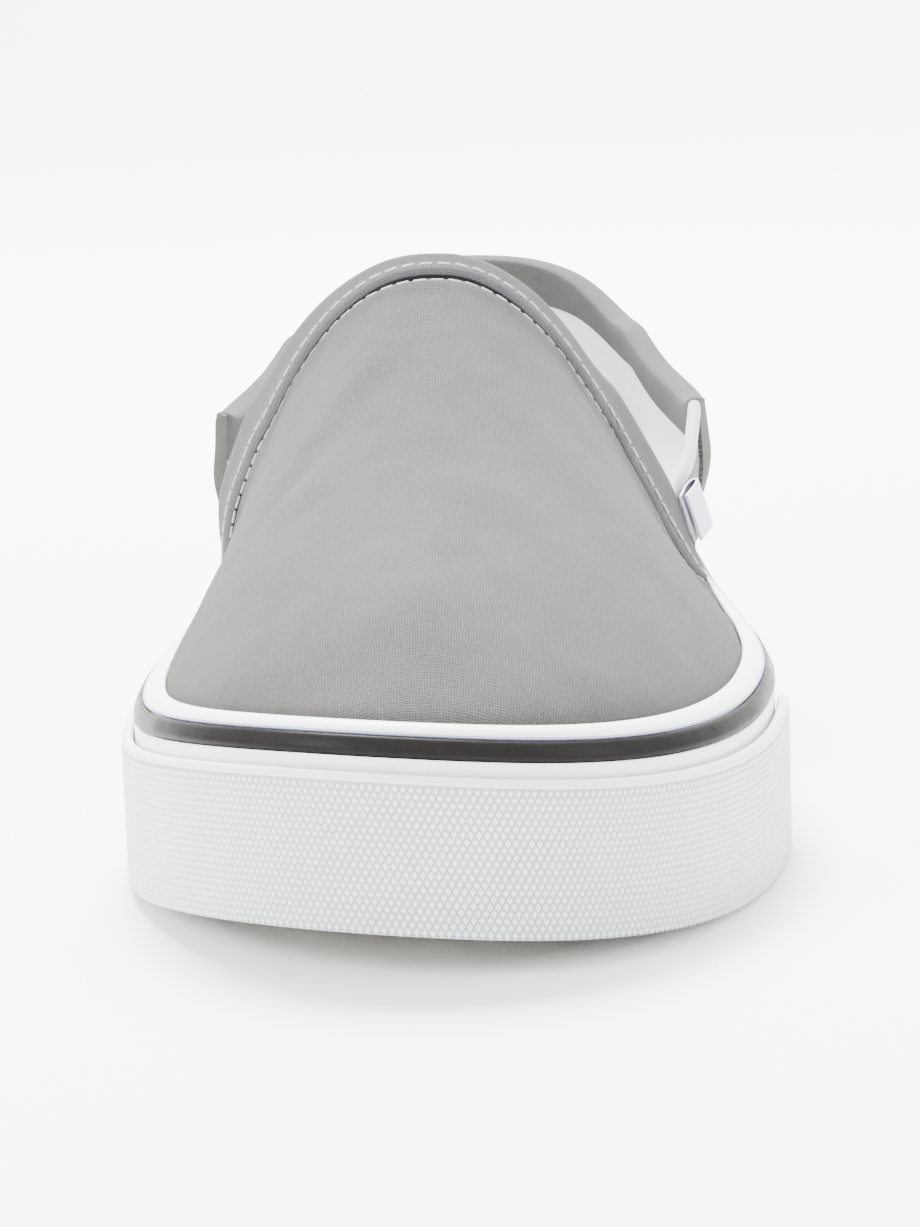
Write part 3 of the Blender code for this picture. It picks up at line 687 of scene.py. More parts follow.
    def finish(self, obj: bpy.types.Object, slot: str, *materials: bpy.types.Material,
               replaces: tuple[str, ...] = ()) -> bpy.types.Object:
        """Dresses a piece and lets it ride on the shoe.

        Args:
            obj: Finished mesh object.
            slot: Record's material slot that it belongs to. Not used.
            materials: Materials in slot order, where the mesh has none yet.
            replaces: Nodes of the model that it stands for.

        Returns:
            The same object.
        """
        for material in materials:
            obj.data.materials.append(material)
        if replaces:
            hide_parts(*replaces)
        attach(obj, "root")
        log.info("%s: %d faces", obj.name, len(obj.data.polygons))
        return obj

    def row_of(self, name: str, model: bpy.types.Object,
               frames: list[Matrix]) -> bpy.types.Object:
        """Repeats one small modelled piece at many places as one mesh.

        Args:
            name: Name of the row.
            model: Small piece that is repeated, and removed afterwards.
            frames: Where each copy goes, in the last's own frame.

        Returns:
            The new mesh object.
        """
        mesh = model.data
        co = np.empty(len(mesh.vertices) * 3)
        mesh.vertices.foreach_get("co", co)
        co = np.concatenate([co.reshape(-1, 3), np.ones((len(mesh.vertices), 1))], axis=1)
        faces = [tuple(p.vertices) for p in mesh.polygons]
        verts, all_faces = [], []
        for n, frame in enumerate(frames):
            verts.append((co @ np.array(frame).T)[:, :3])
            all_faces += [tuple(v + n * len(co) for v in face) for face in faces]
        placed = np.concatenate(verts) + self.offset
        made = bpy.data.meshes.new(name)
        made.from_pydata(placed.tolist(), [], all_faces)
        obj = bpy.data.objects.new(name, made)
        bpy.context.scene.collection.objects.link(obj)
        bpy.data.objects.remove(model, do_unlink=True)
        return obj


# Finishes


class Graph:
    """Node tree of one material, with short calls for its nodes."""

    def __init__(self, name: str, roughness: float) -> None:
        """Starts a material with one principled shader.

        Args:
            name: Name of what is made.
            roughness: Roughness of the shader.
        """
        self.material = bpy.data.materials.new(name)
        self.material.use_nodes = True
        self.nodes = self.material.node_tree.nodes
        self.links = self.material.node_tree.links
        self.shader = self.nodes["Principled BSDF"]
        self.set(roughness=roughness)

    def set(self, **values: object) -> None:
        """Sets or links the shader's sockets, named with underscores.

        Args:
            values: Values by socket name.
        """
        for key, value in values.items():
            name = {"ior": "IOR", "specular_ior_level": "Specular IOR Level"}.get(
                key, key.replace("_", " ").title())
            self.put(self.shader.inputs[name], value)

    def put(self, socket: bpy.types.NodeSocket, value: object) -> None:
        """Links a socket or gives it a plain value.

        Args:
            socket: Socket to set or link.
            value: Value to set or read.
        """
        if isinstance(value, bpy.types.NodeSocket):
            self.links.new(value, socket)
        elif isinstance(value, tuple) and len(value) == 3 and socket.type == "RGBA":
            socket.default_value = (*value, 1.0)
        else:
            socket.default_value = value

    def math(self, operation: str, *values: Value) -> bpy.types.NodeSocket:
        """Output of a math node.

        Args:
            operation: What the node works out.
            values: Values, in socket order.

        Returns:
            The node's output.
        """
        node = self.nodes.new("ShaderNodeMath")
        node.operation = operation
        for n, value in enumerate(values):
            self.put(node.inputs[n], value)
        return node.outputs[0]

    def place(self, flat: bool) -> bpy.types.NodeSocket:
        """Place of a point: on its cloth where flat, or on the shoe.

        Args:
            flat: Whether the pattern follows the cloth.

        Returns:
            The node's output.
        """
        if flat:
            node = self.nodes.new("ShaderNodeUVMap")
            node.uv_map = "cloth"
            return node.outputs[0]
        return self.nodes.new("ShaderNodeTexCoord").outputs["Object"]

    def split(self, vector: bpy.types.NodeSocket) -> tuple[bpy.types.NodeSocket, ...]:
        """The three parts of a vector.

        Args:
            vector: Vector to split.

        Returns:
            The node's outputs.
        """
        node = self.nodes.new("ShaderNodeSeparateXYZ")
        self.put(node.inputs[0], vector)
        return tuple(node.outputs)

    def join(self, *values: Value) -> bpy.types.NodeSocket:
        """A vector of up to three parts.

        Args:
            values: Values, in socket order.

        Returns:
            The node's output.
        """
        node = self.nodes.new("ShaderNodeCombineXYZ")
        for n, value in enumerate(values):
            self.put(node.inputs[n], value)
        return node.outputs[0]

    def noise(self, place: bpy.types.NodeSocket, size: float, detail: float = 3.0,
              rough: float = 0.55) -> bpy.types.NodeSocket:
        """Cloudy pattern whose patches are about size across, in metres.

        Args:
            place: Place of a point.
            size: Size in metres.
            detail: Layers of finer detail.
            rough: Strength of the finer layers.

        Returns:
            The node's output.
        """
        node = self.nodes.new("ShaderNodeTexNoise")
        self.put(node.inputs["Vector"], place)
        node.inputs["Scale"].default_value = 1.0 / size
        node.inputs["Detail"].default_value = detail
        node.inputs["Roughness"].default_value = rough
        return node.outputs[0]

    def spread(self, value: Value, low: float, high: float, to_low: float = 0.0,
               to_high: float = 1.0) -> bpy.types.NodeSocket:
        """Maps a range of a value to another range, clamped.

        Args:
            value: Value to set or read.
            low: Lower end of the value's range.
            high: Upper end of the value's range.
            to_low: Result at low.
            to_high: Result at high.

        Returns:
            The node's output.
        """
        node = self.nodes.new("ShaderNodeMapRange")
        for n, number in enumerate((value, low, high, to_low, to_high)):
            self.put(node.inputs[n], number)
        return node.outputs[0]

    def blend(self, share: Value, a: Value | Color, b: Value | Color) -> bpy.types.NodeSocket:
        """Mixes two colours.

        Args:
            share: Share of the second colour.
            a: First colour.
            b: Second colour.

        Returns:
            The node's output.
        """
        node = self.nodes.new("ShaderNodeMix")
        node.data_type = "RGBA"
        self.put(node.inputs[0], share)
        self.put(node.inputs[6], a)
        self.put(node.inputs[7], b)
        return node.outputs[2]

    def bump(self, height: Value, depth: float,
             below: bpy.types.NodeSocket | None = None) -> bpy.types.NodeSocket:
        """Normal of a relief that is depth high, in metres, on top of another relief.

        Args:
            height: Relief, from 0 to 1.
            depth: Height of the relief, in metres.
            below: Normal of the relief under it.

        Returns:
            The node's output.
        """
        node = self.nodes.new("ShaderNodeBump")
        node.inputs["Strength"].default_value = 1.0
        node.inputs["Distance"].default_value = depth
        self.put(node.inputs["Height"], height)
        if below is not None:
            self.put(node.inputs["Normal"], below)
        return node.outputs[0]

    def ripple(self, value: Value, pitch: float) -> bpy.types.NodeSocket:
        """Rounded ridges, one every pitch, from 0 between them to 1 on top."""
        turn = self.math("MULTIPLY", value, math.pi / pitch)
        return self.math("ABSOLUTE", self.math("SINE", turn))

    def weigh(self, a: Value, b: Value, share: float) -> bpy.types.NodeSocket:
        """Mean of two values, with a share given to the first."""
        first, second = self.math("MULTIPLY", a, share), self.math("MULTIPLY", b, 1.0 - share)
        return self.math("ADD", first, second)

    def weave(self, place: bpy.types.NodeSocket, pitch: float) -> bpy.types.NodeSocket:
        """Relief of a plain weave, from 0 between the threads to 1 on top of them.

        Args:
            place: Place of a point.
            pitch: Distance between ridges, in metres.

        Returns:
            The node's output.
        """
        u, v, _ = self.split(place)
        waves = []
        for part, size in ((u, 7.0), (v, 11.0)):
            wobble = self.noise(place, pitch * size, 3.0, 0.65)
            shift = self.math("MULTIPLY", self.math("SUBTRACT", wobble, 0.5), 2.4)
            turn = self.math("ADD", self.math("MULTIPLY", part, 1.0 / pitch), shift)
            waves.append(self.math("SINE", self.math("MULTIPLY", turn, math.pi)))
        over = self.math("MULTIPLY", waves[0], waves[1])
        warp = self.math("MULTIPLY", self.math("ABSOLUTE", waves[0]),
                         self.math("MULTIPLY_ADD", over, 0.5, 0.5))
        weft = self.math("MULTIPLY", self.math("ABSOLUTE", waves[1]),
                         self.math("MULTIPLY_ADD", over, -0.5, 0.5))
        return self.math("ADD", warp, weft)


@dataclass(frozen=True)
class Woven:
    """Plain woven cloth with raised threads, uneven yarn and a dry nap."""

    name: str
    thread: Color
    gap: Color
    pitch: float = 0.00043
    relief: float = 0.00018
    roughness: float = 0.93
    sheen: float = 0.04

    def make(self) -> bpy.types.Material:
        """Builds the material.

        Returns:
            The material.
        """
        g = Graph(self.name, self.roughness)
        place = g.place(flat=True)
        threads = g.weave(place, self.pitch)
        u, v, _ = g.split(place)
        slubs = g.noise(g.join(g.math("MULTIPLY", u, 9.0), v, 0.0), self.pitch * 8, 2.0)
        cross = g.noise(g.join(u, g.math("MULTIPLY", v, 9.0), 0.0), self.pitch * 8, 2.0)
        yarn = g.weigh(slubs, cross, 0.5)
        clouds = g.noise(place, 0.018, 3.0)
        lit = g.math("MULTIPLY", g.spread(threads, 0.15, 0.75),
                     g.spread(yarn, 0.30, 0.70, 0.50, 1.0))
        base = g.blend(lit, self.gap, self.thread)
        faded = tuple(min(1.0, c * 1.08) for c in self.thread)
        base = g.blend(g.spread(clouds, 0.35, 0.75, 0.0, 0.35), base, faded)
        worn = g.spread(threads, 0.2, 0.9, self.roughness, self.roughness - 0.08)
        fuzz = g.noise(place, 0.00012, 2.0)
        height = g.math("ADD", g.math("MULTIPLY", threads, g.spread(yarn, 0.2, 0.8, 0.75, 1.15)),
                        g.math("MULTIPLY", fuzz, 0.18))
        g.set(base_color=base, roughness=worn, normal=g.bump(height, self.relief),
              sheen_weight=self.sheen, sheen_roughness=0.6, specular_ior_level=0.12)
        return g.material


@dataclass(frozen=True)
class Rubber:
    """Vulcanised rubber with fine grain, faint waves, dust and a soft gloss."""

    name: str
    color: Color
    dust: Color
    roughness: float = 0.42
    coat: float = 0.0
    grain: float = 0.00002
    glow: float = 0.0
    shine: float = 0.4
    ior: float = 1.5

    def make(self) -> bpy.types.Material:
        """Builds the material.

        Returns:
            The material.
        """
        g = Graph(self.name, self.roughness)
        place = g.place(flat=False)
        grain = g.noise(place, 0.0005, 3.0)
        waves = g.noise(place, 0.012, 2.0)
        marks = g.noise(place, 0.004, 5.0, 0.7)
        base = g.blend(g.spread(marks, 0.52, 0.80, 0.0, 0.35), self.color, self.dust)
        rough = g.spread(marks, 0.30, 0.75, self.roughness - 0.05, self.roughness + 0.12)
        normal = g.bump(grain, self.grain, g.bump(waves, 0.00025))
        g.set(base_color=base, roughness=rough, normal=normal, coat_weight=self.coat, ior=self.ior,
              coat_roughness=0.12, subsurface_weight=self.glow, subsurface_scale=0.002,
              specular_ior_level=self.shine)
        return g.material


@dataclass(frozen=True)
class Elastic:
    """Ribbed elastic web with fine upright cords."""

    name: str
    cord: Color
    groove: Color
    pitch: float = 0.0009
    roughness: float = 0.88

    def make(self) -> bpy.types.Material:
        """Builds the material.

        Returns:
            The material.
        """
        g = Graph(self.name, self.roughness)
        place = g.place(flat=True)
        u, v, _ = g.split(place)
        sway = g.math("MULTIPLY", g.noise(place, 0.002, 2.0), 0.8)
        cords = g.math("ABSOLUTE", g.math("SINE", g.math(
            "ADD", g.math("MULTIPLY", u, math.pi / self.pitch), sway)))
        height = g.weigh(cords, g.ripple(v, self.pitch * 0.55), 0.75)
        mottle = g.noise(place, 0.0015, 3.0)
        base = g.blend(g.spread(height, 0.2, 0.8), self.groove, self.cord)
        base = g.blend(g.spread(mottle, 0.4, 0.7, 0.0, 0.25), base, self.groove)
        g.set(base_color=base, normal=g.bump(height, 0.00022), sheen_weight=0.1,
              roughness=g.spread(height, 0.0, 1.0, self.roughness, self.roughness - 0.08))
        return g.material


@dataclass(frozen=True)
class Thread:
    """Twisted sewing thread."""

    name: str
    color: Color
    dip: Color
    pitch: float = 0.0004
    roughness: float = 0.62

    def make(self) -> bpy.types.Material:
        """Builds the material.

        Returns:
            The material.
        """
        g = Graph(self.name, self.roughness)
        place = g.place(flat=False)
        x, y, z = g.split(place)
        lay = g.math("ADD", g.math("ADD", x, y), z)
        twist = g.ripple(lay, self.pitch)
        fluff = g.noise(place, 0.0004, 3.0)
        base = g.blend(g.spread(g.math("ADD", twist, g.math("MULTIPLY", fluff, 0.4)), 0.1, 0.8),
                       self.dip, self.color)
        g.set(base_color=base, normal=g.bump(twist, 0.00006), sheen_weight=0.2,
              roughness=g.spread(fluff, 0.3, 0.7, self.roughness - 0.06, self.roughness + 0.1))
        return g.material


@dataclass(frozen=True)
class Ribbon:
    """Flat woven ribbon with a faint satin."""

    name: str
    color: Color
    shade: Color
    pick_pitch: float = 0.00032
    end_pitch: float = 0.00045
    roughness: float = 0.5

    def make(self) -> bpy.types.Material:
        """Builds the material.

        Returns:
            The material.
        """
        g = Graph(self.name, self.roughness)
        place = g.place(flat=True)
        u, v, _ = g.split(place)
        height = g.weigh(g.ripple(v, self.pick_pitch), g.ripple(u, self.end_pitch), 0.7)
        clouds = g.noise(place, 0.003, 3.0)
        base = g.blend(g.spread(height, 0.1, 0.7), self.shade, self.color)
        base = g.blend(g.spread(clouds, 0.4, 0.8, 0.0, 0.2), base, self.shade)
        g.set(base_color=base, normal=g.bump(height, 0.00005), sheen_weight=0.15,
              roughness=g.spread(clouds, 0.3, 0.7, self.roughness, self.roughness + 0.15))
        return g.material


@dataclass(frozen=True)
class Paper:
    """Plain pale studio floor."""

    name: str
    color: Color
    roughness: float = 0.8

    def make(self) -> bpy.types.Material:
        """Builds the material.

        Returns:
            The material.
        """
        g = Graph(self.name, self.roughness)
        clouds = g.noise(g.place(flat=False), 0.4, 2.0)
        shade = tuple(c * 0.985 for c in self.color)
        g.set(base_color=g.blend(g.spread(clouds, 0.3, 0.7), shade, self.color))
        return g.material


class Wardrobe:
    """All the finishes of the shoe, each made once."""

    def __init__(self) -> None:
        """Builds every material."""
        grey, dark = (0.116, 0.114, 0.107), (0.030, 0.030, 0.028)
        self.canvas = Woven("canvas", grey, dark).make()
        self.binding = Woven("binding", (0.138, 0.134, 0.137), (0.044, 0.042, 0.046)).make()
        self.lining = Woven("lining", (0.84, 0.84, 0.85), (0.66, 0.66, 0.69),
                            0.0006, 0.00005).make()
        self.collar = Woven("collar", (0.116, 0.115, 0.110), (0.044, 0.044, 0.042)).make()
        self.footbed = Woven("footbed", (0.72, 0.72, 0.72), (0.55, 0.55, 0.56), 0.0007).make()
        self.rubber = Rubber("rubber", (0.84, 0.86, 0.865), (0.76, 0.78, 0.79), 0.40,
                             coat=0.05, glow=0.05).make()
        self.toe = Rubber("toe_rubber", (0.70, 0.725, 0.725), (0.63, 0.65, 0.65), 0.46,
                          glow=0.05).make()
        # Grey rubber for the flat ground between the toe strip's diamonds: painted shade between
        # them.
        self.groove = Rubber("toe_valley_shade", (0.34, 0.36, 0.37), (0.30, 0.32, 0.33), 0.55).make()
        self.stripe = Rubber("stripe", (0.012, 0.011, 0.011), (0.020, 0.019, 0.019), 0.30,
                             shine=0.30, ior=1.14).make()
        self.tread = Rubber("tread", (0.70, 0.68, 0.62), (0.58, 0.56, 0.51), 0.58,
                            grain=0.00005).make()
        # Near-black cloth for the strip in the throat seam: painted shadow.
        self.seam = Woven("seam_shadow", (0.014, 0.013, 0.016), (0.006, 0.006, 0.007)).make()
        self.elastic = Elastic("elastic", (0.165, 0.165, 0.162), (0.070, 0.070, 0.070)).make()
        self.thread = Thread("thread", (0.36, 0.35, 0.41), (0.24, 0.23, 0.28)).make()
        # Dark bluish copy of the white ribbon for the loop's inside face: painted shade inside the
        # loop.
        self.ribbon_painted_shade = Ribbon("ribbon_painted_shade", (0.16, 0.14, 0.24), (0.07, 0.06, 0.12)).make()
        # Dark bluish rubber for the thin strip in the band's step above the stripe: painted shade
        # in the step.
        self.line = Rubber("band_step_shade", (0.36, 0.37, 0.52), (0.30, 0.31, 0.44), 0.5).make()
        self.ribbon = Ribbon("ribbon", (0.78, 0.78, 0.86), (0.52, 0.50, 0.62)).make()


# Pieces


@dataclass
class UpperShell:
    """Canvas vamp and quarters with their white lining."""

    last: Last
    bench: Workbench
    spacing: float = 0.0018
    near: float = 0.0009
    rows: int = 70
    # Shares of the length between which the columns lie closer
    close: tuple[float, float] = (-0.075, 0.045)
    puff: float = 0.00045
    welt_place: float = 0.0022
    welt_width: float = 0.0018
    dip_depth: float = 0.0013
    dip_width: float = 0.0009
    tuck_depth: float = 0.00035
    tuck_reach: float = 0.012
    # Unevenness of the cloth: length of the wave, phase and height
    waves: tuple[tuple[float, ...], ...] = (
        (0.034, 0.3, 0.00010), (0.021, 1.9, 0.00007), (0.013, 4.1, 0.00004))
    # Soft troughs and ridges from one point to another: x and width over the ball width,
    # y over the length, depth over the wall
    creases: tuple[tuple[float, ...], ...] = (
        # x, y, x, y, width, depth
        (-0.075, -0.128, -0.240, -0.196, 0.040, -0.34),
        (-0.120, -0.112, -0.270, -0.172, 0.034, 0.20),
        (0.150, -0.110, 0.270, -0.170, 0.040, -0.16),
        (-0.260, -0.250, 0.050, -0.225, 0.060, -0.12),
        (0.020, -0.215, 0.290, -0.240, 0.055, -0.12),
        (-0.420, -0.060, -0.330, 0.020, 0.040, -0.20),
        (0.430, -0.090, 0.360, 0.000, 0.045, -0.18),
        (-0.420, 0.150, -0.420, 0.260, 0.110, -0.30),
        (0.400, 0.160, 0.400, 0.280, 0.110, -0.30),
    )

    def lattice(self) -> tuple[np.ndarray, np.ndarray]:
        """Points of the outer face and their flat places on the cloth.

        Returns:
            Points, and flat places in metres.
        """
        last = self.last
        places = last.fine_ring(self.spacing, self.close, self.near)
        lines, flats = [], []
        outline, _ = last.ring_frame(places)
        around = arc_length(outline)
        for n, i in enumerate(places):
            column = last.column_frame(i)
            share = column.outer[1] / last.length
            wall = []
            for z in (last.foot, *(last.side * row for row in last.wall_rows)):
                xy = column.outer - column.normal * last.wall_inset(z, column.lean)
                wall.append((xy[0], xy[1], z + float(last.lift(xy[0], xy[1]))))
            high = 1.0
            rear = column.index > last.column(last.apex)
            if rear:
                high = last.height_share(column, last.notch_height(share))
            line = np.concatenate([wall, last.dome_line(column, 0.0, high, self.rows)])
            lines.append(line)
            up = arc_length(line)
            if rear:
                flats.append(np.stack([np.full(len(up), around[n]), up], axis=1))
            else:
                ray = unit(column.edge - column.spine)
                reach = (up[-1] - up)[:, None]
                start = column.spine * np.array([1.0, 1.12])
                flats.append(start + ray * reach)
        return np.array(lines), np.array(flats)

    def relief(self, seam: np.ndarray) -> Field:
        """Makes the height field of creases, welt and soft unevenness.

        Args:
            seam: Points of the throat's seam.

        Returns:
            The height field.
        """
        last = self.last

        def height(co: np.ndarray) -> np.ndarray:
            """Height of the relief at points of the last.

            Args:
                co: Points of the last.

            Returns:
                Heights in metres.
            """
            total = np.zeros(len(co))
            for x0, y0, x1, y1, width, depth in self.creases:
                a = np.array([x0 * last.ball, y0 * last.length])
                b = np.array([x1 * last.ball, y1 * last.length])
                along = np.clip((co[:, :2] - a) @ (b - a) / ((b - a) @ (b - a)), -0.3, 1.3)
                near = a + along[:, None] * (b - a)
                far = np.linalg.norm(co[:, :2] - near, axis=1) / (width * last.ball)
                fade = np.clip(np.minimum(along + 0.3, 1.3 - along) / 0.5, 0.0, 1.0)
                total += depth * last.wall * np.exp(-far * far) * fade * fade * (3 - 2 * fade)
            for wave, phase, size in self.waves:
                total += size * (np.sin(co[:, 0] / wave * 6.28 + phase + 2 * np.sin(
                    co[:, 1] / wave * 3.1)) * np.cos(co[:, 1] / wave * 5.3 + phase * 2))
            near = np.full(len(co), 1.0)
            behind = np.zeros(len(co), bool)
            close = np.where((co[:, 1] > -0.035) & (co[:, 1] < 0.03) & (co[:, 2] > 0.02))[0]
            away = np.linalg.norm(co[close, None] - seam[None], axis=2)
            pick = away.argmin(axis=1)
            near[close] = away[np.arange(len(close)), pick]
            behind[close] = co[close, 1] > seam[pick, 1]
            welt = self.puff * np.exp(-((near - self.welt_place) / self.welt_width) ** 2)
            dip = self.dip_depth * np.exp(-(near / self.dip_width) ** 2)
            tuck = np.where(near < self.tuck_reach, -self.tuck_depth, 0.0)
            return total + np.where(behind, tuck, welt - dip)

        return height

    def make(self, wardrobe: Wardrobe, seam: np.ndarray) -> None:
        """Builds the shell with its lining inside.

        Args:
            wardrobe: Finishes of the shoe.
            seam: Points of the throat's seam.
        """
        points, flat = self.lattice()
        obj = self.bench.sheet("upper_canvas_shell", points, flat, flip=True)
        self.bench.displace(obj, self.relief(seam))
        for material in (wardrobe.canvas, wardrobe.lining):
            obj.data.materials.append(material)
        self.bench.modify(obj, "SOLIDIFY", thickness=self.last.wall, offset=-1.0,
                          material_offset=1, material_offset_rim=0)
        self.bench.shade(obj, 60.0)
        self.bench.finish(obj, "upper_canvas", replaces=("upper",))


@dataclass
class ThroatBand:
    """Folded binding along the throat, with a near-black strip in the recessed seam in front of it
    that paints the seam's shadow.
    """

    last: Last
    bench: Workbench
    width: float = 0.0076
    apex_width: float = 0.0040
    foot: float = 0.0450
    spacing: float = 0.0009
    section_spacing: float = 0.00045
    soft_points: int = 9
    # Painted seam shadow strip: way forward from the band's front edge and height over the canvas,
    # in metres
    seam: tuple[tuple[float, float], ...] = (
        (-0.0006, 0.00012), (0.0, 0.00006), (0.0009, 0.00002))
    # Way forward from the rear edge over the width, and height over the canvas in metres
    section: tuple[tuple[float, float], ...] = (
        (1.015, -0.00030), (1.005, 0.00020), (0.965, 0.00075), (0.88, 0.00105), (0.76, 0.00112),
        (0.62, 0.00100), (0.48, 0.00096), (0.32, 0.00104), (0.17, 0.00108), (0.06, 0.00090),
        (-0.02, 0.00045), (-0.07, -0.00030), (-0.08, -0.00110), (-0.05, -0.00200),
        (0.03, -0.00245), (0.16, -0.00262), (0.36, -0.00258), (0.56, -0.00250),
        (0.62, -0.00215), (0.62, -0.00175))

    def path(self) -> np.ndarray:
        """Share of the length and signed way out, from one foot over the apex to the other.

        Returns:
            Rows of share and way out.
        """
        last = self.last
        start, end = last.column(last.apex), last.column(last.notch[1])
        halves = {}
        for side in (-1, 1):
            rows = []
            for n in np.arange(start, end + 1e-6, 0.2):
                column = last.column_frame(n if side > 0 else 2 * last.last - n)
                share = column.outer[1] / last.length
                h = min(1.0, last.height_share(column, last.notch_height(share)))
                rows.append((share, side * math.sqrt(max(0.0, 1.0 - h ** column.roundness))))
            high = last.notch_height(last.notch[1])
            share = rows[-1][0]
            for t in np.linspace(0.1, 1.0, 10):
                there = share + (self.foot - share) * t
                column = last.side_frame(there, side)
                z = high + (last.side + 2.5 * last.gap - high) * t
                h = last.height_share(column, z)
                rows.append((there, side * math.sqrt(1.0 - h ** column.roundness)))
            halves[side] = rows
        return np.array(list(reversed(halves[-1])) + halves[1][1:])

    def rails(self) -> tuple[np.ndarray, np.ndarray, np.ndarray, np.ndarray]:
        """Rear edge, middle, front edge and widths of the band along its path.

        Returns:
            Rear edge, middle, front edge and widths.
        """
        last = self.last
        path = self.path()
        rear = np.array([last.section_point(*p) for p in path])
        run = arc_length(rear)
        where = np.linspace(0.0, run[-1], int(run[-1] / self.spacing))
        path = read_along(where, run, path)
        soft = np.hanning(self.soft_points)
        soft = soft / soft.sum()
        padded = np.pad(path, ((self.soft_points // 2,) * 2, (0, 0)), mode="edge")
        path = np.stack([np.convolve(padded[:, c], soft, "valid") for c in range(2)], axis=1)
        wide = np.minimum(np.abs(path[:, 1]) / 0.7, 1.0) ** 2
        wide = self.apex_width + (self.width - self.apex_width) * wide
        lines = []
        for t in (0.0, 0.5, 1.0):
            lines.append(np.array([last.section_point(share - w * t / last.length, rho)
                                   for (share, rho), w in zip(path, wide)]))
        return (*lines, wide)

    def normals(self, rails: tuple[np.ndarray, ...]) -> np.ndarray:
        """Outward normals of the canvas under the band."""
        along = unit(np.gradient(rails[0], axis=0))
        return unit(np.cross(unit(rails[2] - rails[0]), along))

    def across(self, rails: tuple[np.ndarray, ...], t: float) -> np.ndarray:
        """Line on the canvas at a share t of the band's width from its rear edge.

        Args:
            rails: Rear edge, middle and front edge of the band, and its widths.
            t: Share of the band's width.

        Returns:
            Points of the line.
        """
        rear, middle, front, _ = rails
        return (rear * (1 - t) * (1 - 2 * t) + middle * 4 * t * (1 - t)
                + front * t * (2 * t - 1))

    def make(self, wardrobe: Wardrobe, rails: tuple[np.ndarray, ...]) -> None:
        """Builds the band and, in front of it, a near-black strip that paints the shadow in the
        seam.

        Args:
            wardrobe: Finishes of the shoe.
            rails: Rear edge, middle and front edge of the band, and its widths.
        """
        normals = self.normals(rails)
        section = resample(np.array([(t * self.width, h) for t, h in self.section]),
                           self.section_spacing)
        lines = [self.across(rails, t / self.width) + normals * h for t, h in section]
        points = np.array(lines)
        along = arc_length(rails[0])
        over = arc_length(section)
        flat = flat_grid(over, along)[..., ::-1]
        obj = self.bench.sheet("throat_band_binding", points, flat)
        self.bench.shade(obj, 60.0)
        self.bench.finish(obj, "band_canvas", wardrobe.binding, replaces=("throat_band",))
        # Near-black sheet in the seam's recess: a painted shadow.
        strip = [self.across(rails, 1.0) + normals * h + unit(rails[2] - rails[0]) * w
                 for w, h in self.seam]
        obj = self.bench.sheet("throat_seam_shadow", np.array(strip), flip=True)
        self.bench.shade(obj)
        self.bench.finish(obj, "band_canvas", wardrobe.seam)


@dataclass
class Stitching:
    """Rows of sewn stitches, each a short thread that dips at both ends."""

    bench: Workbench
    length: float = 0.0023
    pitch: float = 0.0029
    thick: float = 0.00058
    tip_reach: float = 1.18
    tip_size: float = 0.45
    flatness: float = 0.8
    dip: float = 0.30
    sway: float = 0.00012
    turn: float = 0.07
    # Way in front of the seam and height over the canvas
    vamp_row: tuple[float, float] = (0.0017, 0.00050)
    band_row: tuple[float, float] = (-0.0019, 0.00110)
    strap_rise: float = 0.0001

    def stitch(self) -> bpy.types.Object:
        """Models one stitch along X, with Z up.

        Returns:
            The stitch.
        """
        bpy.ops.object.select_all(action="DESELECT")
        bpy.ops.mesh.primitive_cylinder_add(vertices=8, radius=0.5, depth=1.0,
                                            rotation=(0.0, math.pi / 2, 0.0),
                                            end_fill_type="NGON")
        obj = bpy.context.active_object
        bpy.ops.object.transform_apply(location=False, rotation=True, scale=False)
        self.bench.edit(obj, (bpy.ops.mesh.select_all, {"action": "DESELECT"}))
        bpy.ops.object.mode_set(mode="EDIT")
        bpy.ops.mesh.select_mode(type="FACE")
        bpy.ops.object.mode_set(mode="OBJECT")
        for polygon in obj.data.polygons:
            polygon.select = abs(polygon.normal.x) > 0.9
        bpy.ops.object.mode_set(mode="EDIT")
        bpy.ops.mesh.extrude_region_shrink_fatten(
            TRANSFORM_OT_shrink_fatten={"value": 0.0})
        bpy.ops.transform.resize(value=(self.tip_reach, self.tip_size, self.tip_size))
        bpy.ops.object.mode_set(mode="OBJECT")
        for vertex in obj.data.vertices:
            x = vertex.co.x / (self.tip_reach / 2)
            vertex.co.x = vertex.co.x / self.tip_reach * self.length
            vertex.co.y *= self.thick
            drop = abs(x) ** 3 * self.thick * self.dip
            vertex.co.z = vertex.co.z * self.thick * self.flatness - drop
        return obj

    def frames(self, line: np.ndarray, normals: np.ndarray, rise: float) -> list[Matrix]:
        """Places of the stitches along a line.

        Args:
            line: Points that the row follows.
            normals: Outward normals at those points.
            rise: Height of the thread's middle over the line.

        Returns:
            One frame a stitch.
        """
        run = arc_length(line)
        count = int(run[-1] / self.pitch)
        frames = []
        for n in range(count):
            s = (n + 0.5) * run[-1] / count
            here, ahead, up = (np.array([np.interp(w, run, rows[:, c]) for c in range(3)])
                               for w, rows in ((s, line), (s + 0.0006, line), (s, normals)))
            wobble = self.sway * math.sin(n * 12.9898)
            x = unit(ahead - here)
            z = unit(up - x * (up @ x))
            y = np.cross(z, x)
            x = unit(x + y * self.turn * math.sin(n * 7.31 + 1.0))
            y = np.cross(z, x)
            spot = here + z * rise + y * wobble
            frames.append(frame_at(x, y, z, spot))
        return frames

    def make(self, wardrobe: Wardrobe, name: str, slot: str, frames: list[Matrix]) -> None:
        """Builds one row as one mesh.

        Args:
            wardrobe: Finishes of the shoe.
            name: Name of what is made.
            slot: Record's material slot.
            frames: Where the stitches go.
        """
        obj = self.bench.row_of(name, self.stitch(), frames)
        self.bench.shade(obj, 80.0)
        self.bench.finish(obj, slot, wardrobe.thread)


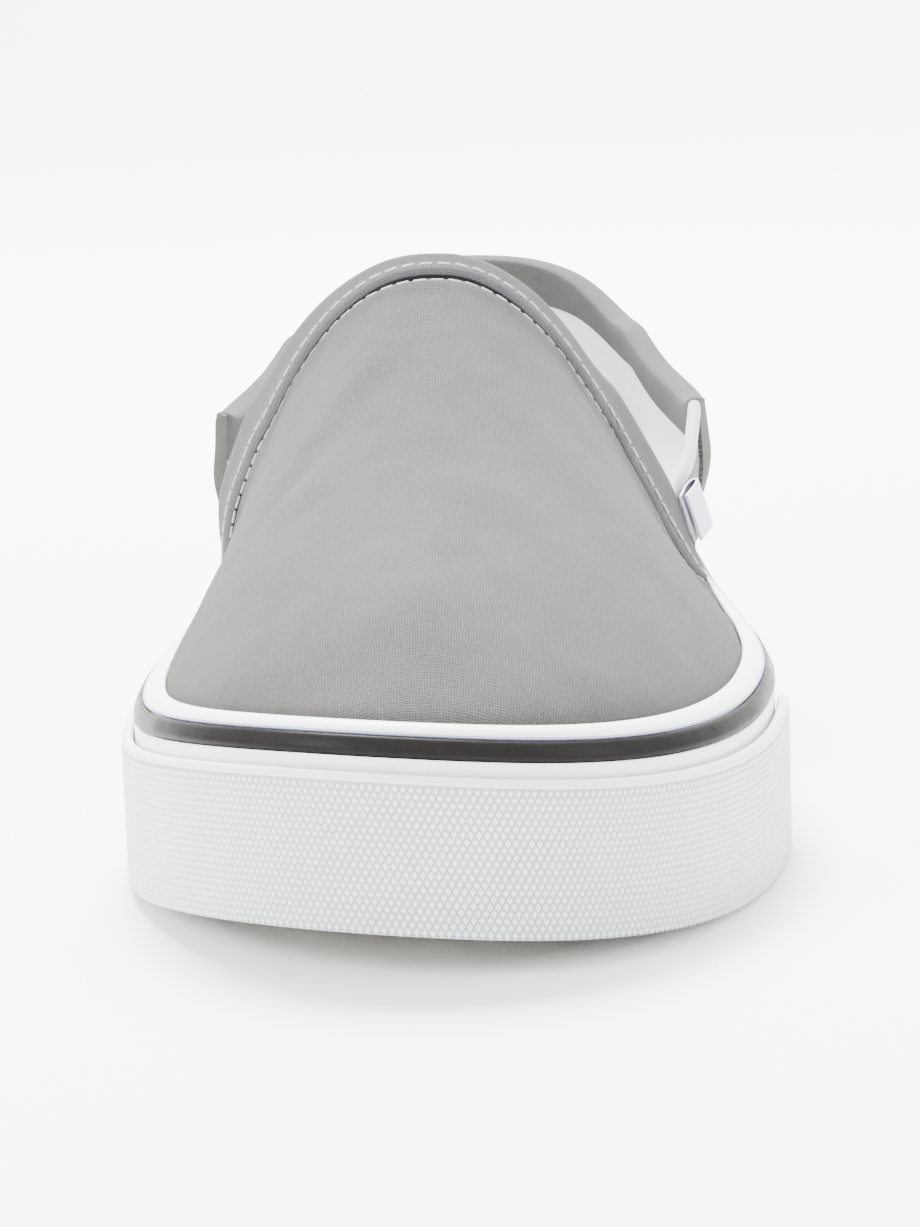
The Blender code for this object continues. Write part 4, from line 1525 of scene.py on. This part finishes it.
@dataclass
class Sole:
    """Rubber side band, black stripe and toe strip."""

    last: Last
    bench: Workbench
    floor_gap: float = 0.0004
    drop: float = 0.0047
    stripe_height: float = 0.0031
    stripe_lean: float = 0.0017
    stripe_thick: float = 0.0009
    bumper_drop: float = 0.0072
    bumper_end: float = 0.55
    diamond: tuple[float, float] = (0.0011, 0.0010)
    fill: tuple[float, float] = (0.94, 1.55)
    relief: float = 0.00030
    spacing: float = 0.0022
    strip_spacing: float = 0.0016

    def sweep(self, name: str, places: list[float], section: Section) -> bpy.types.Object:
        """Sweeps a closed section along the outline.

        Args:
            name: Name of what is made.
            places: Places on the ring.
            section: Gives the closed section at a place.

        Returns:
            The new mesh object.
        """
        points, normals = self.last.ring_frame(places)
        lines = []
        for i, p, n in zip(places, points, normals):
            rows = section(i)
            xy = p + n * rows[:, :1]
            z = rows[:, 1] + self.last.lift(xy[:, 0], xy[:, 1])
            lines.append(np.concatenate([xy, z[:, None]], axis=1))
        lattice = np.array(lines)
        lattice = np.concatenate([lattice, lattice[:, :1]], axis=1)
        return self.bench.sheet(name, lattice, flip=True)

    def line(self) -> tuple[np.ndarray, np.ndarray, np.ndarray, np.ndarray]:
        """Foot, head, direction and inward normal of the stripe's bed in the section.

        Returns:
            Foot, head, direction and inward normal.
        """
        along = unit(np.array([self.stripe_lean, self.stripe_height]))
        foot = np.array([0.0, self.last.side - self.drop])
        return foot, foot + along * self.stripe_height, along, np.array([along[1], -along[0]])

    def foxing_section(self, i: float) -> np.ndarray:
        """Section of the side band with rounded edges: outward offset and height.

        Args:
            i: Place on the ring.

        Returns:
            Rows of offset and height.
        """
        last = self.last
        points, _ = last.ring_frame([i])
        lean = float(last.smooth(last.section_rows, 5, points[0][1] / last.length))
        foot, head, along, inward = self.line()
        deep = self.stripe_thick * 0.7 + last.gap
        low, high = foot - along * last.gap, head + along * last.gap
        edge = float(last.wall_inset(last.side, lean)) - last.gap
        step = 0.00035
        rows = [(0.0012, self.floor_gap), (0.00045, self.floor_gap + 0.0001),
                (0.0001, self.floor_gap + 0.0005), (0.0, self.floor_gap + 0.0012)]
        rows += [(0.0, z) for z in np.linspace(0.004, low[1] - 0.0012, 8)]
        rows += [(0.00003, low[1] - 0.0004), (0.00020, low[1] - 0.00006),
                 tuple(low + inward * 0.0004), tuple(low + inward * deep),
                 tuple(high + inward * deep), tuple(high + inward * 0.0003),
                 tuple(high + inward * 0.00005 + along * 0.00018),
                 tuple(high + along * 0.0006)]
        span = edge - high[0] - 0.0006
        rows += [(high[0] + 0.0006 + span * t, last.side - step * (1 - t) ** 1.5 + bulge)
                 for t, bulge in ((0.25, 0.0), (0.5, 0.0001), (0.75, 0.00012), (0.92, 0.00002))]
        rows += [(edge, last.side - 0.0003)]
        rows += [(float(last.wall_inset(last.side * row, lean)) - last.gap, last.side * row)
                 for row in reversed(last.wall_rows)]
        rows.append((last.foxing, self.floor_gap))
        return np.array([(-inset, z) for inset, z in rows])

    def stripe_section(self, i: float) -> np.ndarray:
        """Section of the stripe, a little proud and round.

        Args:
            i: Place on the ring.

        Returns:
            Rows of offset and height.
        """
        foot, head, along, inward = self.line()
        size, deep = self.stripe_height, self.stripe_thick
        rows = []
        for t in np.linspace(0.0, 1.0, 9):
            proud = 0.0003 + 0.00012 * math.sin(math.pi * t) - 0.00025 * abs(2 * t - 1) ** 8
            rows.append(foot + along * size * t - inward * proud)
        rows += [head + inward * deep * 0.7, foot + inward * deep * 0.7]
        return np.array([(-r[0], r[1]) for r in rows])

    def step_shade_section(self, i: float) -> np.ndarray:
        """Section of a thin dark strip in the band's step, just above the stripe, that paints the
        step's shade.

        Args:
            i: Place on the ring.

        Returns:
            Rows of offset and height.
        """
        _, head, along, inward = self.line()
        rows = [head + along * t - inward * h for t, h in (
            (0.00025, -0.0006), (0.00030, 0.00012), (0.00060, 0.00012), (0.00066, -0.0006))]
        return np.array([(-r[0], r[1]) for r in rows])

    def bumper_section(self, i: float) -> np.ndarray:
        """Section of the toe strip, with a rolled top edge.

        Args:
            i: Place on the ring.

        Returns:
            Rows of offset and height.
        """
        gap, thick = self.last.gap, self.last.bumper
        top = self.last.side - self.bumper_drop
        outer = gap + thick - self.relief
        rows = [(gap, self.floor_gap), (outer - 0.0009, self.floor_gap),
                (outer - 0.0002, self.floor_gap + 0.0002), (outer, self.floor_gap + 0.0008)]
        rows += [(outer, z) for z in np.linspace(0.003, top - 0.0030, 7)]
        for t in np.linspace(0.0, 1.0, 9):
            a = math.pi / 2 * t
            rows.append((outer - 0.0009 + 0.0011 * math.cos(a) ** 0.8,
                         top - 0.0013 + 0.0013 * math.sin(a)))
        rows += [(gap + 0.0003, top - 0.0001), (gap, top - 0.0006)]
        return np.array(rows)

    def bumper_places(self, spacing: float) -> list[float]:
        """Places of the toe strip, from one end round the tip to the other.

        Args:
            spacing: Distance between places, in metres.

        Returns:
            Places on the ring.
        """
        end = self.last.toe_columns - self.bumper_end
        fine = np.linspace(-end, end, 1200)
        points, _ = self.last.ring_frame(list(fine))
        run = arc_length(points)
        where = np.linspace(0.0, run[-1], int(run[-1] / spacing) + 1)
        return list(np.interp(where, run, fine))

    def stud(self) -> bpy.types.Object:
        """Models one flat-topped diamond, with Z out of the strip.

        Returns:
            The diamond.
        """
        bpy.ops.object.select_all(action="DESELECT")
        bpy.ops.mesh.primitive_circle_add(vertices=4, radius=0.5, fill_type="NGON")
        obj = bpy.context.active_object
        self.bench.edit(obj, (bpy.ops.mesh.extrude_region_move,
                              {"TRANSFORM_OT_translate": {"value": (0.0, 0.0, 1.0)}}),
                        (bpy.ops.transform.resize, {"value": (0.50, 0.50, 1.0)}))
        wide, high = self.diamond
        for vertex in obj.data.vertices:
            vertex.co.x *= wide * self.fill[0]
            vertex.co.y *= high * self.fill[1]
            vertex.co.z = -0.00004 if vertex.co.z < 0.5 else self.relief
        return obj

    def studs(self) -> list[Matrix]:
        """Places of the diamonds, in rows that are offset by half a diamond.

        Returns:
            One frame a diamond.
        """
        last = self.last
        wide, high = self.diamond
        places = self.bumper_places(wide / 2)
        points, normals = last.ring_frame(places)
        outer = last.gap + last.bumper - self.relief
        low, top = self.floor_gap + 0.0008, last.side - self.bumper_drop - 0.0020
        count = int((top - low) / high)
        frames = []
        for r in range(count + 1):
            z = low + (top - low) * r / count
            for n in range(2 + r % 2, len(places) - 2, 2):
                xy = points[n] + normals[n] * outer
                out = (*normals[n], 0.0)
                side = (-normals[n][1], normals[n][0], 0.0)
                up = (0.0, 0.0, 1.0)
                spot = (xy[0], xy[1], z + float(last.lift(xy[0], xy[1])))
                frames.append(frame_at(side, up, out, spot))
        return frames

    def make(self, wardrobe: Wardrobe) -> None:
        """Builds the rubber pieces.

        Args:
            wardrobe: Finishes of the shoe.
        """
        ring = self.last.fine_ring(self.spacing)
        bench = self.bench
        obj = self.sweep("side_band", ring, self.foxing_section)
        bench.shade(obj, 35.0)
        bench.finish(obj, "foxing_rubber", wardrobe.rubber, replaces=("foxing",))
        obj = self.sweep("side_stripe", ring, self.stripe_section)
        bench.shade(obj, 50.0)
        bench.finish(obj, "stripe_rubber", wardrobe.stripe, replaces=("foxing_stripe",))
        # Thin dark bluish strip in the step above the stripe: painted shade.
        obj = self.sweep("side_band_line", ring, self.step_shade_section)
        bench.shade(obj, 50.0)
        bench.finish(obj, "foxing_rubber", wardrobe.line)
        obj = self.sweep("toe_strip", self.bumper_places(self.strip_spacing), self.bumper_section)
        bench.close_ends(obj)
        self.mark_valley_shade(obj)
        bench.shade(obj, 35.0)
        # The second slot paints the shade between the diamonds.
        bench.finish(obj, "bumper_rubber", wardrobe.toe, wardrobe.groove,
                     replaces=("toe_bumper",))
        obj = bench.row_of("toe_strip_diamonds", self.stud(), self.studs())
        bench.finish(obj, "bumper_rubber", wardrobe.toe)

    def mark_valley_shade(self, obj: bpy.types.Object) -> None:
        """Gives the patterned part of the toe strip its second material slot, a darker grey that
        paints the shade between the diamonds.

        Args:
            obj: Mesh object to work on.
        """
        low, high = self.floor_gap + 0.0004, self.last.side - self.bumper_drop - 0.0014
        for polygon in obj.data.polygons:
            x, y = (polygon.center[c] - self.bench.shift[c] for c in range(2))
            z = polygon.center[2] - float(self.last.lift(x, y))
            if low < z < high and abs(polygon.normal.z) < 0.5:
                polygon.material_index = 1


@dataclass
class Gore:
    """Elastic panel in its notch, with a white folded strip along its front edge."""

    last: Last
    bench: Workbench
    side: Side
    clearance: float = 0.00035
    recess: float = 0.0008
    overlap: float = 0.0010
    web: float = 0.0009
    strip: float = 0.0026
    columns: int = 26
    rows: int = 24
    # Folded strip: way down from the edge over its width, and height in metres
    fold: tuple[tuple[float, float], ...] = (
        (0.90, -0.0020), (0.40, -0.0021), (0.10, -0.0020), (-0.08, -0.0015), (-0.12, -0.0008),
        (-0.08, -0.0002), (0.08, 0.0002), (0.45, 0.0003), (0.85, 0.0001), (1.0, -0.0003))

    def grid(self, grow: float) -> tuple[np.ndarray, np.ndarray]:
        """Points of the panel's outer face, columns from front to rear, and its flat places.

        Args:
            grow: How far the notch is narrowed, in metres.

        Returns:
            Points and flat places.
        """
        last, edge = self.last, self.clearance
        high = last.top_height(last.notch[0])
        front_z = last.side + (high - last.side) * last.gore_low
        rear_z = last.top_height(last.notch[3])
        corner = last.notch_front(front_z)
        shares = np.linspace(corner + (3.0 * edge - grow) / last.length,
                             last.notch[3] - (4.0 * edge - 3.0 * grow) / last.length,
                             self.columns)
        shares = np.unique(np.concatenate([shares, last.notch[1:3]]))
        lines = []
        for share in shares:
            column = last.side_frame(share, self.side.value)
            top = np.interp(share, (corner, last.notch[3]), (front_z, rear_z))
            low = last.height_share(column, last.notch_height(share, edge - grow))
            lines.append(last.dome_line(column, low, last.height_share(column, top), self.rows))
        points = np.array(lines)
        flat = np.stack(np.broadcast_arrays(shares[:, None] * last.length,
                                            points[:, :, 2]), axis=-1)
        return points, flat

    def make(self, wardrobe: Wardrobe) -> None:
        """Builds the panel and the strip.

        Args:
            wardrobe: Finishes of the shoe.
        """
        name = "gore_" + ("lateral" if self.side is Side.OUTER else "medial")
        points, flat = self.grid(self.overlap)
        along = unit(np.gradient(points, axis=0))
        up = unit(np.gradient(points, axis=1))
        normal = unit(np.cross(along, up)) * self.side.value
        outer = points - normal * self.recess
        obj = self.bench.sheet(name + "_web", outer, flat, flip=self.side is Side.OUTER)
        self.bench.modify(obj, "SOLIDIFY", thickness=self.web, offset=-1.0)
        self.bench.shade(obj, 60.0)
        self.bench.finish(obj, "gore_elastic", wardrobe.elastic, replaces=(name,))
        edge, out, down = (rows[:-2, -1] for rows in (points, normal, -up))
        rows = [edge + down * self.strip * across + out * lift for across, lift in self.fold]
        obj = self.bench.sheet(name + "_edge", np.array(rows), flip=self.side is Side.INNER)
        self.bench.modify(obj, "SUBSURF", levels=1)
        self.bench.shade(obj, 80.0)
        cloth = wardrobe.lining if self.side is Side.OUTER else wardrobe.collar
        self.bench.finish(obj, "gore_elastic", cloth)


@dataclass
class Collar:
    """Padded roll inside the top edge, from gore to gore round the heel."""

    last: Last
    bench: Workbench
    depth: float = 0.0085
    pad: float = 0.0028
    crown: float = 0.0008
    spacing: float = 0.0022
    rows: int = 12
    taper: float = 9.0

    def make(self, wardrobe: Wardrobe) -> None:
        """Builds the roll as one closed, tapering form.

        Args:
            wardrobe: Finishes of the shoe.
        """
        last = self.last
        start = last.column(last.notch[3]) + 0.1
        places = [i for i in last.fine_ring(self.spacing)
                  if start < i < 2 * last.last - start]
        lines = []
        for n, i in enumerate(places):
            column = last.column_frame(i)
            top = last.top_height(column.outer[1] / last.length)
            low = last.height_share(column, top - self.depth)
            wall = last.dome_line(column, low, last.height_share(column, top), self.rows)
            end = min(n, len(places) - 1 - n) / self.taper
            size = math.sqrt(max(0.0, 1 - (1 - min(end, 1.0)) ** 2))
            inward = -np.array([*column.normal, 0.0])
            ring = []
            for c in range(self.rows):
                t = c / (self.rows - 1)
                full = math.sin(math.pi * min(1.0, 0.10 + 0.62 * t)) ** 0.6
                ring.append(wall[c] + inward * (last.wall + self.pad * full * size))
            for across, rise in ((0.60, 0.55), (0.30, 0.90), (0.0, 1.0), (-0.28, 0.75),
                                 (-0.34, 0.10)):
                off = last.wall * 0.5 + (last.wall * 0.5 + self.pad) * across * (0.5 + 0.5 * size)
                ring.append(wall[-1] + inward * off + np.array([0, 0, self.crown * rise]))
            ring += [wall[-2] + inward * (last.wall * 0.4), wall[0] + inward * (last.wall * 0.6)]
            lines.append(ring)
        points = np.array(lines)
        points = np.concatenate([points, points[:, :1]], axis=1)
        run = arc_length(points[:, 5])
        up = np.arange(points.shape[1]) * 0.0013
        flat = flat_grid(run, up)
        obj = self.bench.sheet("collar_roll", points, flat, flip=True)
        self.bench.close_ends(obj)
        self.bench.modify(obj, "SUBSURF", levels=1)
        self.bench.shade(obj, 80.0)
        self.bench.finish(obj, "collar_canvas", wardrobe.collar, replaces=("collar",))


@dataclass
class HeelStay:
    """Strap up the back seam."""

    last: Last
    bench: Workbench
    width: float = 0.0260
    thick: float = 0.0012
    height: float = 0.045
    columns: int = 25
    rows: int = 30
    sewn: tuple[int, int] = (2, 22)

    def lines(self, count: int, rows: int) -> tuple[np.ndarray, np.ndarray]:
        """Lattice of the canvas under the strap and its outward normals.

        Args:
            count: Number of points.
            rows: Number of points up the strap.

        Returns:
            Points and outward normals.
        """
        last = self.last
        fine = np.linspace(last.last - 3.0, last.last + 3.0, 400)
        points, _ = last.ring_frame(list(fine))
        run = arc_length(points)
        run -= np.interp(last.last, fine, run)
        places = np.interp(np.linspace(-self.width / 2, self.width / 2, count), run, fine)
        lines, normals = [], []
        for i in places:
            column = last.column_frame(i)
            top = last.top_height(column.outer[1] / last.length)
            low = last.height_share(column, last.side + 2 * last.gap)
            lines.append(last.dome_line(column, low, last.height_share(column, top), rows))
            normals.append(np.tile([*column.normal, 0.0], (rows, 1)))
        return np.array(lines), np.array(normals)

    def make(self, wardrobe: Wardrobe, stitching: Stitching) -> None:
        """Builds the strap and its two rows of stitches.

        Args:
            wardrobe: Finishes of the shoe.
            stitching: Maker of the stitches.
        """
        points, normals = self.lines(self.columns, self.rows)
        across = np.abs(np.linspace(-1, 1, self.columns))
        proud = self.thick * (1 - across ** 14) ** 0.5 - 0.0002
        points = points + normals * proud[:, None, None]
        flat = flat_grid(np.linspace(0, self.width, self.columns),
                         np.linspace(0, self.height, self.rows))
        obj = self.bench.sheet("heel_strap", points, flat, flip=True)
        self.bench.shade(obj, 80.0)
        self.bench.finish(obj, "stay_canvas", wardrobe.binding, replaces=("heel_stay",))
        frames = []
        for column in self.sewn:
            frames += stitching.frames(points[column], normals[column], stitching.strap_rise)
        stitching.make(wardrobe, "heel_strap_stitches", "stay_canvas", frames)


@dataclass
class Footbed:
    """Insole with a soft, slightly raised edge."""

    last: Last
    bench: Workbench
    thick: float = 0.0040
    cup: float = 0.0014
    drop: float = 0.0012
    wall: float = 0.0025
    spacing: float = 0.003
    columns: int = 31

    def make(self, wardrobe: Wardrobe) -> None:
        """Builds the insole.

        Args:
            wardrobe: Finishes of the shoe.
        """
        last = self.last
        inset = last.foxing + last.gap + last.wall + last.gap
        half = [i for i in last.fine_ring(self.spacing) if i <= last.last]
        rows = []
        for n, i in enumerate(half):
            ends = []
            for side in (-1, 1):
                points, normals = last.ring_frame([i if side > 0 else 2 * last.last - i])
                ends.append(points[0] - normals[0] * inset)
            line = []
            for t in np.linspace(-1, 1, self.columns):
                s = math.sin(t * math.pi / 2)
                xy = ends[0] + (ends[1] - ends[0]) * (s + 1) / 2
                way = 2.0 * n / (len(half) - 1) - 1
                rim = max(abs(s) ** 3, abs(way) ** 8)
                z = last.foot + self.thick + self.cup * rim
                z -= self.drop * max(abs(s), abs(way)) ** 40
                line.append((xy[0], xy[1], z + float(last.lift(xy[0], xy[1]))))
            rows.append(line)
        points = np.array(rows)
        obj = self.bench.sheet("footbed", points, points[:, :, :2])
        self.bench.modify(obj, "SOLIDIFY", thickness=self.wall, offset=-1.0)
        self.bench.shade(obj, 60.0)
        self.bench.finish(obj, "insole_fabric", wardrobe.footbed, replaces=("insole",))


@dataclass
class SideTag:
    """Blank ribbon folded into a loop behind the outer end of the throat band."""

    last: Last
    bench: Workbench
    width: float = 0.0090
    place: float = 0.32
    length: float = 0.0075
    loop: float = 0.0032
    seat: float = 0.0015
    neck: float = 0.35
    thick: float = 0.0005
    band: float = 0.0008
    bow: float = 0.0002
    steps: int = 41
    rows: int = 15

    def make(self, wardrobe: Wardrobe) -> None:
        """Builds the loop.

        Args:
            wardrobe: Finishes of the shoe.
        """
        last = self.last
        top = last.top_height(last.notch[0])
        mid = last.side + (top - last.side) * self.place
        ends = []
        for z, back in ((mid - self.width / 2, 0.0), (mid + self.width / 2, 0.0),
                        (mid, self.length)):
            column = last.side_frame(last.notch_front(z) + back / last.length, 1)
            ends.append(last.dome_point(column, np.array([last.height_share(column, z)]))[0])
        foot, head, rear = ends
        up = unit(head - foot)
        back = rear - (foot + head) / 2
        back = unit(back - up * float(back @ up))
        out = np.cross(back, up)
        out = out if out[0] > 0 else -out
        rest = last.gap * 2 + self.band + self.neck * self.loop / 2 + self.thick
        start = foot + out * rest - back * self.seat
        lines = []
        for t in np.linspace(0, 1, self.steps):
            a = math.pi * t
            along = self.length * math.sin(a) ** 0.8
            wide = -self.loop / 2 * math.cos(a) * (self.neck + (1 - self.neck) * math.sin(a))
            lines.append([start + back * along + out * wide + up * self.width * h
                          + back * self.bow * math.sin(3.1 * h)
                          for h in np.linspace(0, 1, self.rows)])
        points = np.array(lines)
        run = arc_length(points[:, self.rows // 2])
        flat = flat_grid(run, np.linspace(0, self.width, self.rows))
        obj = self.bench.sheet("side_ribbon", points, flat)
        # The inside face gets the dark copy of the ribbon: painted shade inside the loop.
        for material in (wardrobe.ribbon, wardrobe.ribbon_painted_shade):
            obj.data.materials.append(material)
        self.bench.modify(obj, "SOLIDIFY", thickness=self.thick, offset=0.0, material_offset=1)
        self.bench.shade(obj, 60.0)
        self.bench.finish(obj, "tag_ribbon", replaces=("side_tag",))


@dataclass
class Studio:
    """White floor, soft lights and the camera low in front of the toe."""

    bench: Workbench
    distance: float = 0.5978
    elevation: float = 10.0
    azimuth: float = 3.08
    roll: float = -2.18
    focal: float = 3708.9
    centre: tuple[float, float] = (441.6, 617.5)
    frame: tuple[int, int] = (920, 1227)
    target: tuple[float, float, float] = (0.0, -0.060, 0.03722)
    sky: float = 2.3
    # Floor: front end, start of its bend up, size of the bend, top and half width
    floor: tuple[float, ...] = (-7.0, 2.4, 1.2, 5.0, 8.0)
    # Name, place, size, power and aim
    lights: tuple[tuple, ...] = (
        ("top_light", (-0.20, 0.75, 1.5), 0.7, 150.0, (0.0, -0.03, 0.04)),
        ("front_left_light", (-1.3, -0.9, 1.0), 0.6, 34.0, (0.0, -0.03, 0.04)),
        ("right_light", (1.4, -0.3, 0.7), 0.6, 10.0, (0.0, -0.03, 0.04)),
        ("backdrop_light", (0.0, 1.9, 2.4), 2.4, 380.0, (0.0, 2.7, 0.0)),
    )

    def camera(self) -> None:
        """Places the camera."""
        a, e, r = (math.radians(v) for v in (self.azimuth, self.elevation, self.roll))
        back = np.array([math.sin(a) * math.cos(e), -math.cos(a) * math.cos(e), math.sin(e)])
        right = np.array([math.cos(a), math.sin(a), 0.0])
        up = np.cross(back, right)
        right, up = (right * math.cos(r) + up * math.sin(r),
                     up * math.cos(r) - right * math.sin(r))
        target = np.array(self.target) + self.bench.offset
        place = target + back * self.distance
        bpy.ops.object.select_all(action="DESELECT")
        bpy.ops.object.camera_add()
        camera = bpy.context.active_object
        camera.name = "photo_camera"
        camera.matrix_world = frame_at(right, up, back, place)
        long = max(self.frame)
        camera.data.sensor_fit = "AUTO"
        camera.data.sensor_width = 36.0
        camera.data.lens = self.focal * 36.0 / long
        camera.data.shift_x = (self.frame[0] / 2 - self.centre[0]) / long
        camera.data.shift_y = (self.centre[1] - self.frame[1] / 2) / long
        camera.data.clip_start = 0.01
        bpy.context.scene.camera = camera

    def light(self, name: str, place: tuple[float, float, float], size: float,
              power: float, aim: tuple[float, float, float]) -> None:
        """Adds one soft square light that looks at the shoe or at the floor behind it.

        Args:
            name: Name of what is made.
            place: Where it stands.
            size: Width of its square, in metres.
            power: Power in watts.
            aim: Point that it looks at.
        """
        bpy.ops.object.select_all(action="DESELECT")
        bpy.ops.object.light_add(type="AREA", location=place)
        light = bpy.context.active_object
        light.name = name
        light.data.size = size
        light.data.energy = power
        look = Vector(aim) - Vector(place)
        light.rotation_euler = look.to_track_quat("-Z", "Y").to_euler()

    def make(self, paper: bpy.types.Material) -> None:
        """Builds the whole studio.

        Args:
            paper: Material of the floor.
        """
        front, back, bend, top, half = self.floor
        side = [(y, 0.0) for y in np.linspace(front, back, 20)]
        side += [(back + bend * math.sin(a), bend - bend * math.cos(a))
                 for a in np.linspace(0.0, math.pi / 2, 25)[1:]]
        side += [(back + bend, z) for z in np.linspace(bend + 0.3, top, 8)]
        sweep = np.array([[(x, y, z) for x in np.linspace(-half, half, 9)] for y, z in side])
        floor = self.bench.sheet("studio_floor", sweep)
        self.bench.shade(floor, 60.0)
        floor.data.materials.append(paper)
        world = bpy.data.worlds.new("studio_white")
        world.use_nodes = True
        sky = world.node_tree.nodes["Background"]
        sky.inputs[0].default_value = (1.0, 1.0, 1.0, 1.0)
        sky.inputs[1].default_value = self.sky
        bpy.context.scene.world = world
        for row in self.lights:
            self.light(*row)
        self.camera()


def shoe_shift(last: Last) -> np.ndarray:
    """Shift from the last's own frame to the shoe's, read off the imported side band."""
    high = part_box("foxing")[1]
    return np.array([high.x - last.outline_rows[0][2] * last.ball, high.y - last.length / 2])


def main() -> None:
    """Builds the shoe's looks in order."""
    logging.basicConfig(level=logging.INFO, format="%(name)s %(message)s", stream=sys.stdout)
    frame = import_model()
    last = Last()
    bench = Workbench(shoe_shift(last))
    wardrobe = Wardrobe()
    band = ThroatBand(last, bench)
    rails = band.rails()
    UpperShell(last, bench).make(wardrobe, rails[2])
    band.make(wardrobe, rails)
    stitching = Stitching(bench)
    normals = band.normals(rails)
    forward = unit(rails[2] - rails[0])
    for name, slot, (ahead, rise) in (("vamp_stitches", "upper_canvas", stitching.vamp_row),
                                      ("band_stitches", "band_canvas", stitching.band_row)):
        frames = stitching.frames(rails[2] + forward * ahead, normals, rise)
        stitching.make(wardrobe, name, slot, frames)
    Sole(last, bench).make(wardrobe)
    for side in Side:
        Gore(last, bench, side).make(wardrobe)
    Collar(last, bench).make(wardrobe)
    HeelStay(last, bench).make(wardrobe, stitching)
    Footbed(last, bench).make(wardrobe)
    SideTag(last, bench).make(wardrobe)
    outsole = frame["nodes"]["outsole"]
    for slot in outsole.material_slots:
        slot.material = wardrobe.tread
    Studio(bench).make(Paper("floor_paper", (0.90, 0.90, 0.90)).make())


if __name__ == "__main__":
    main()
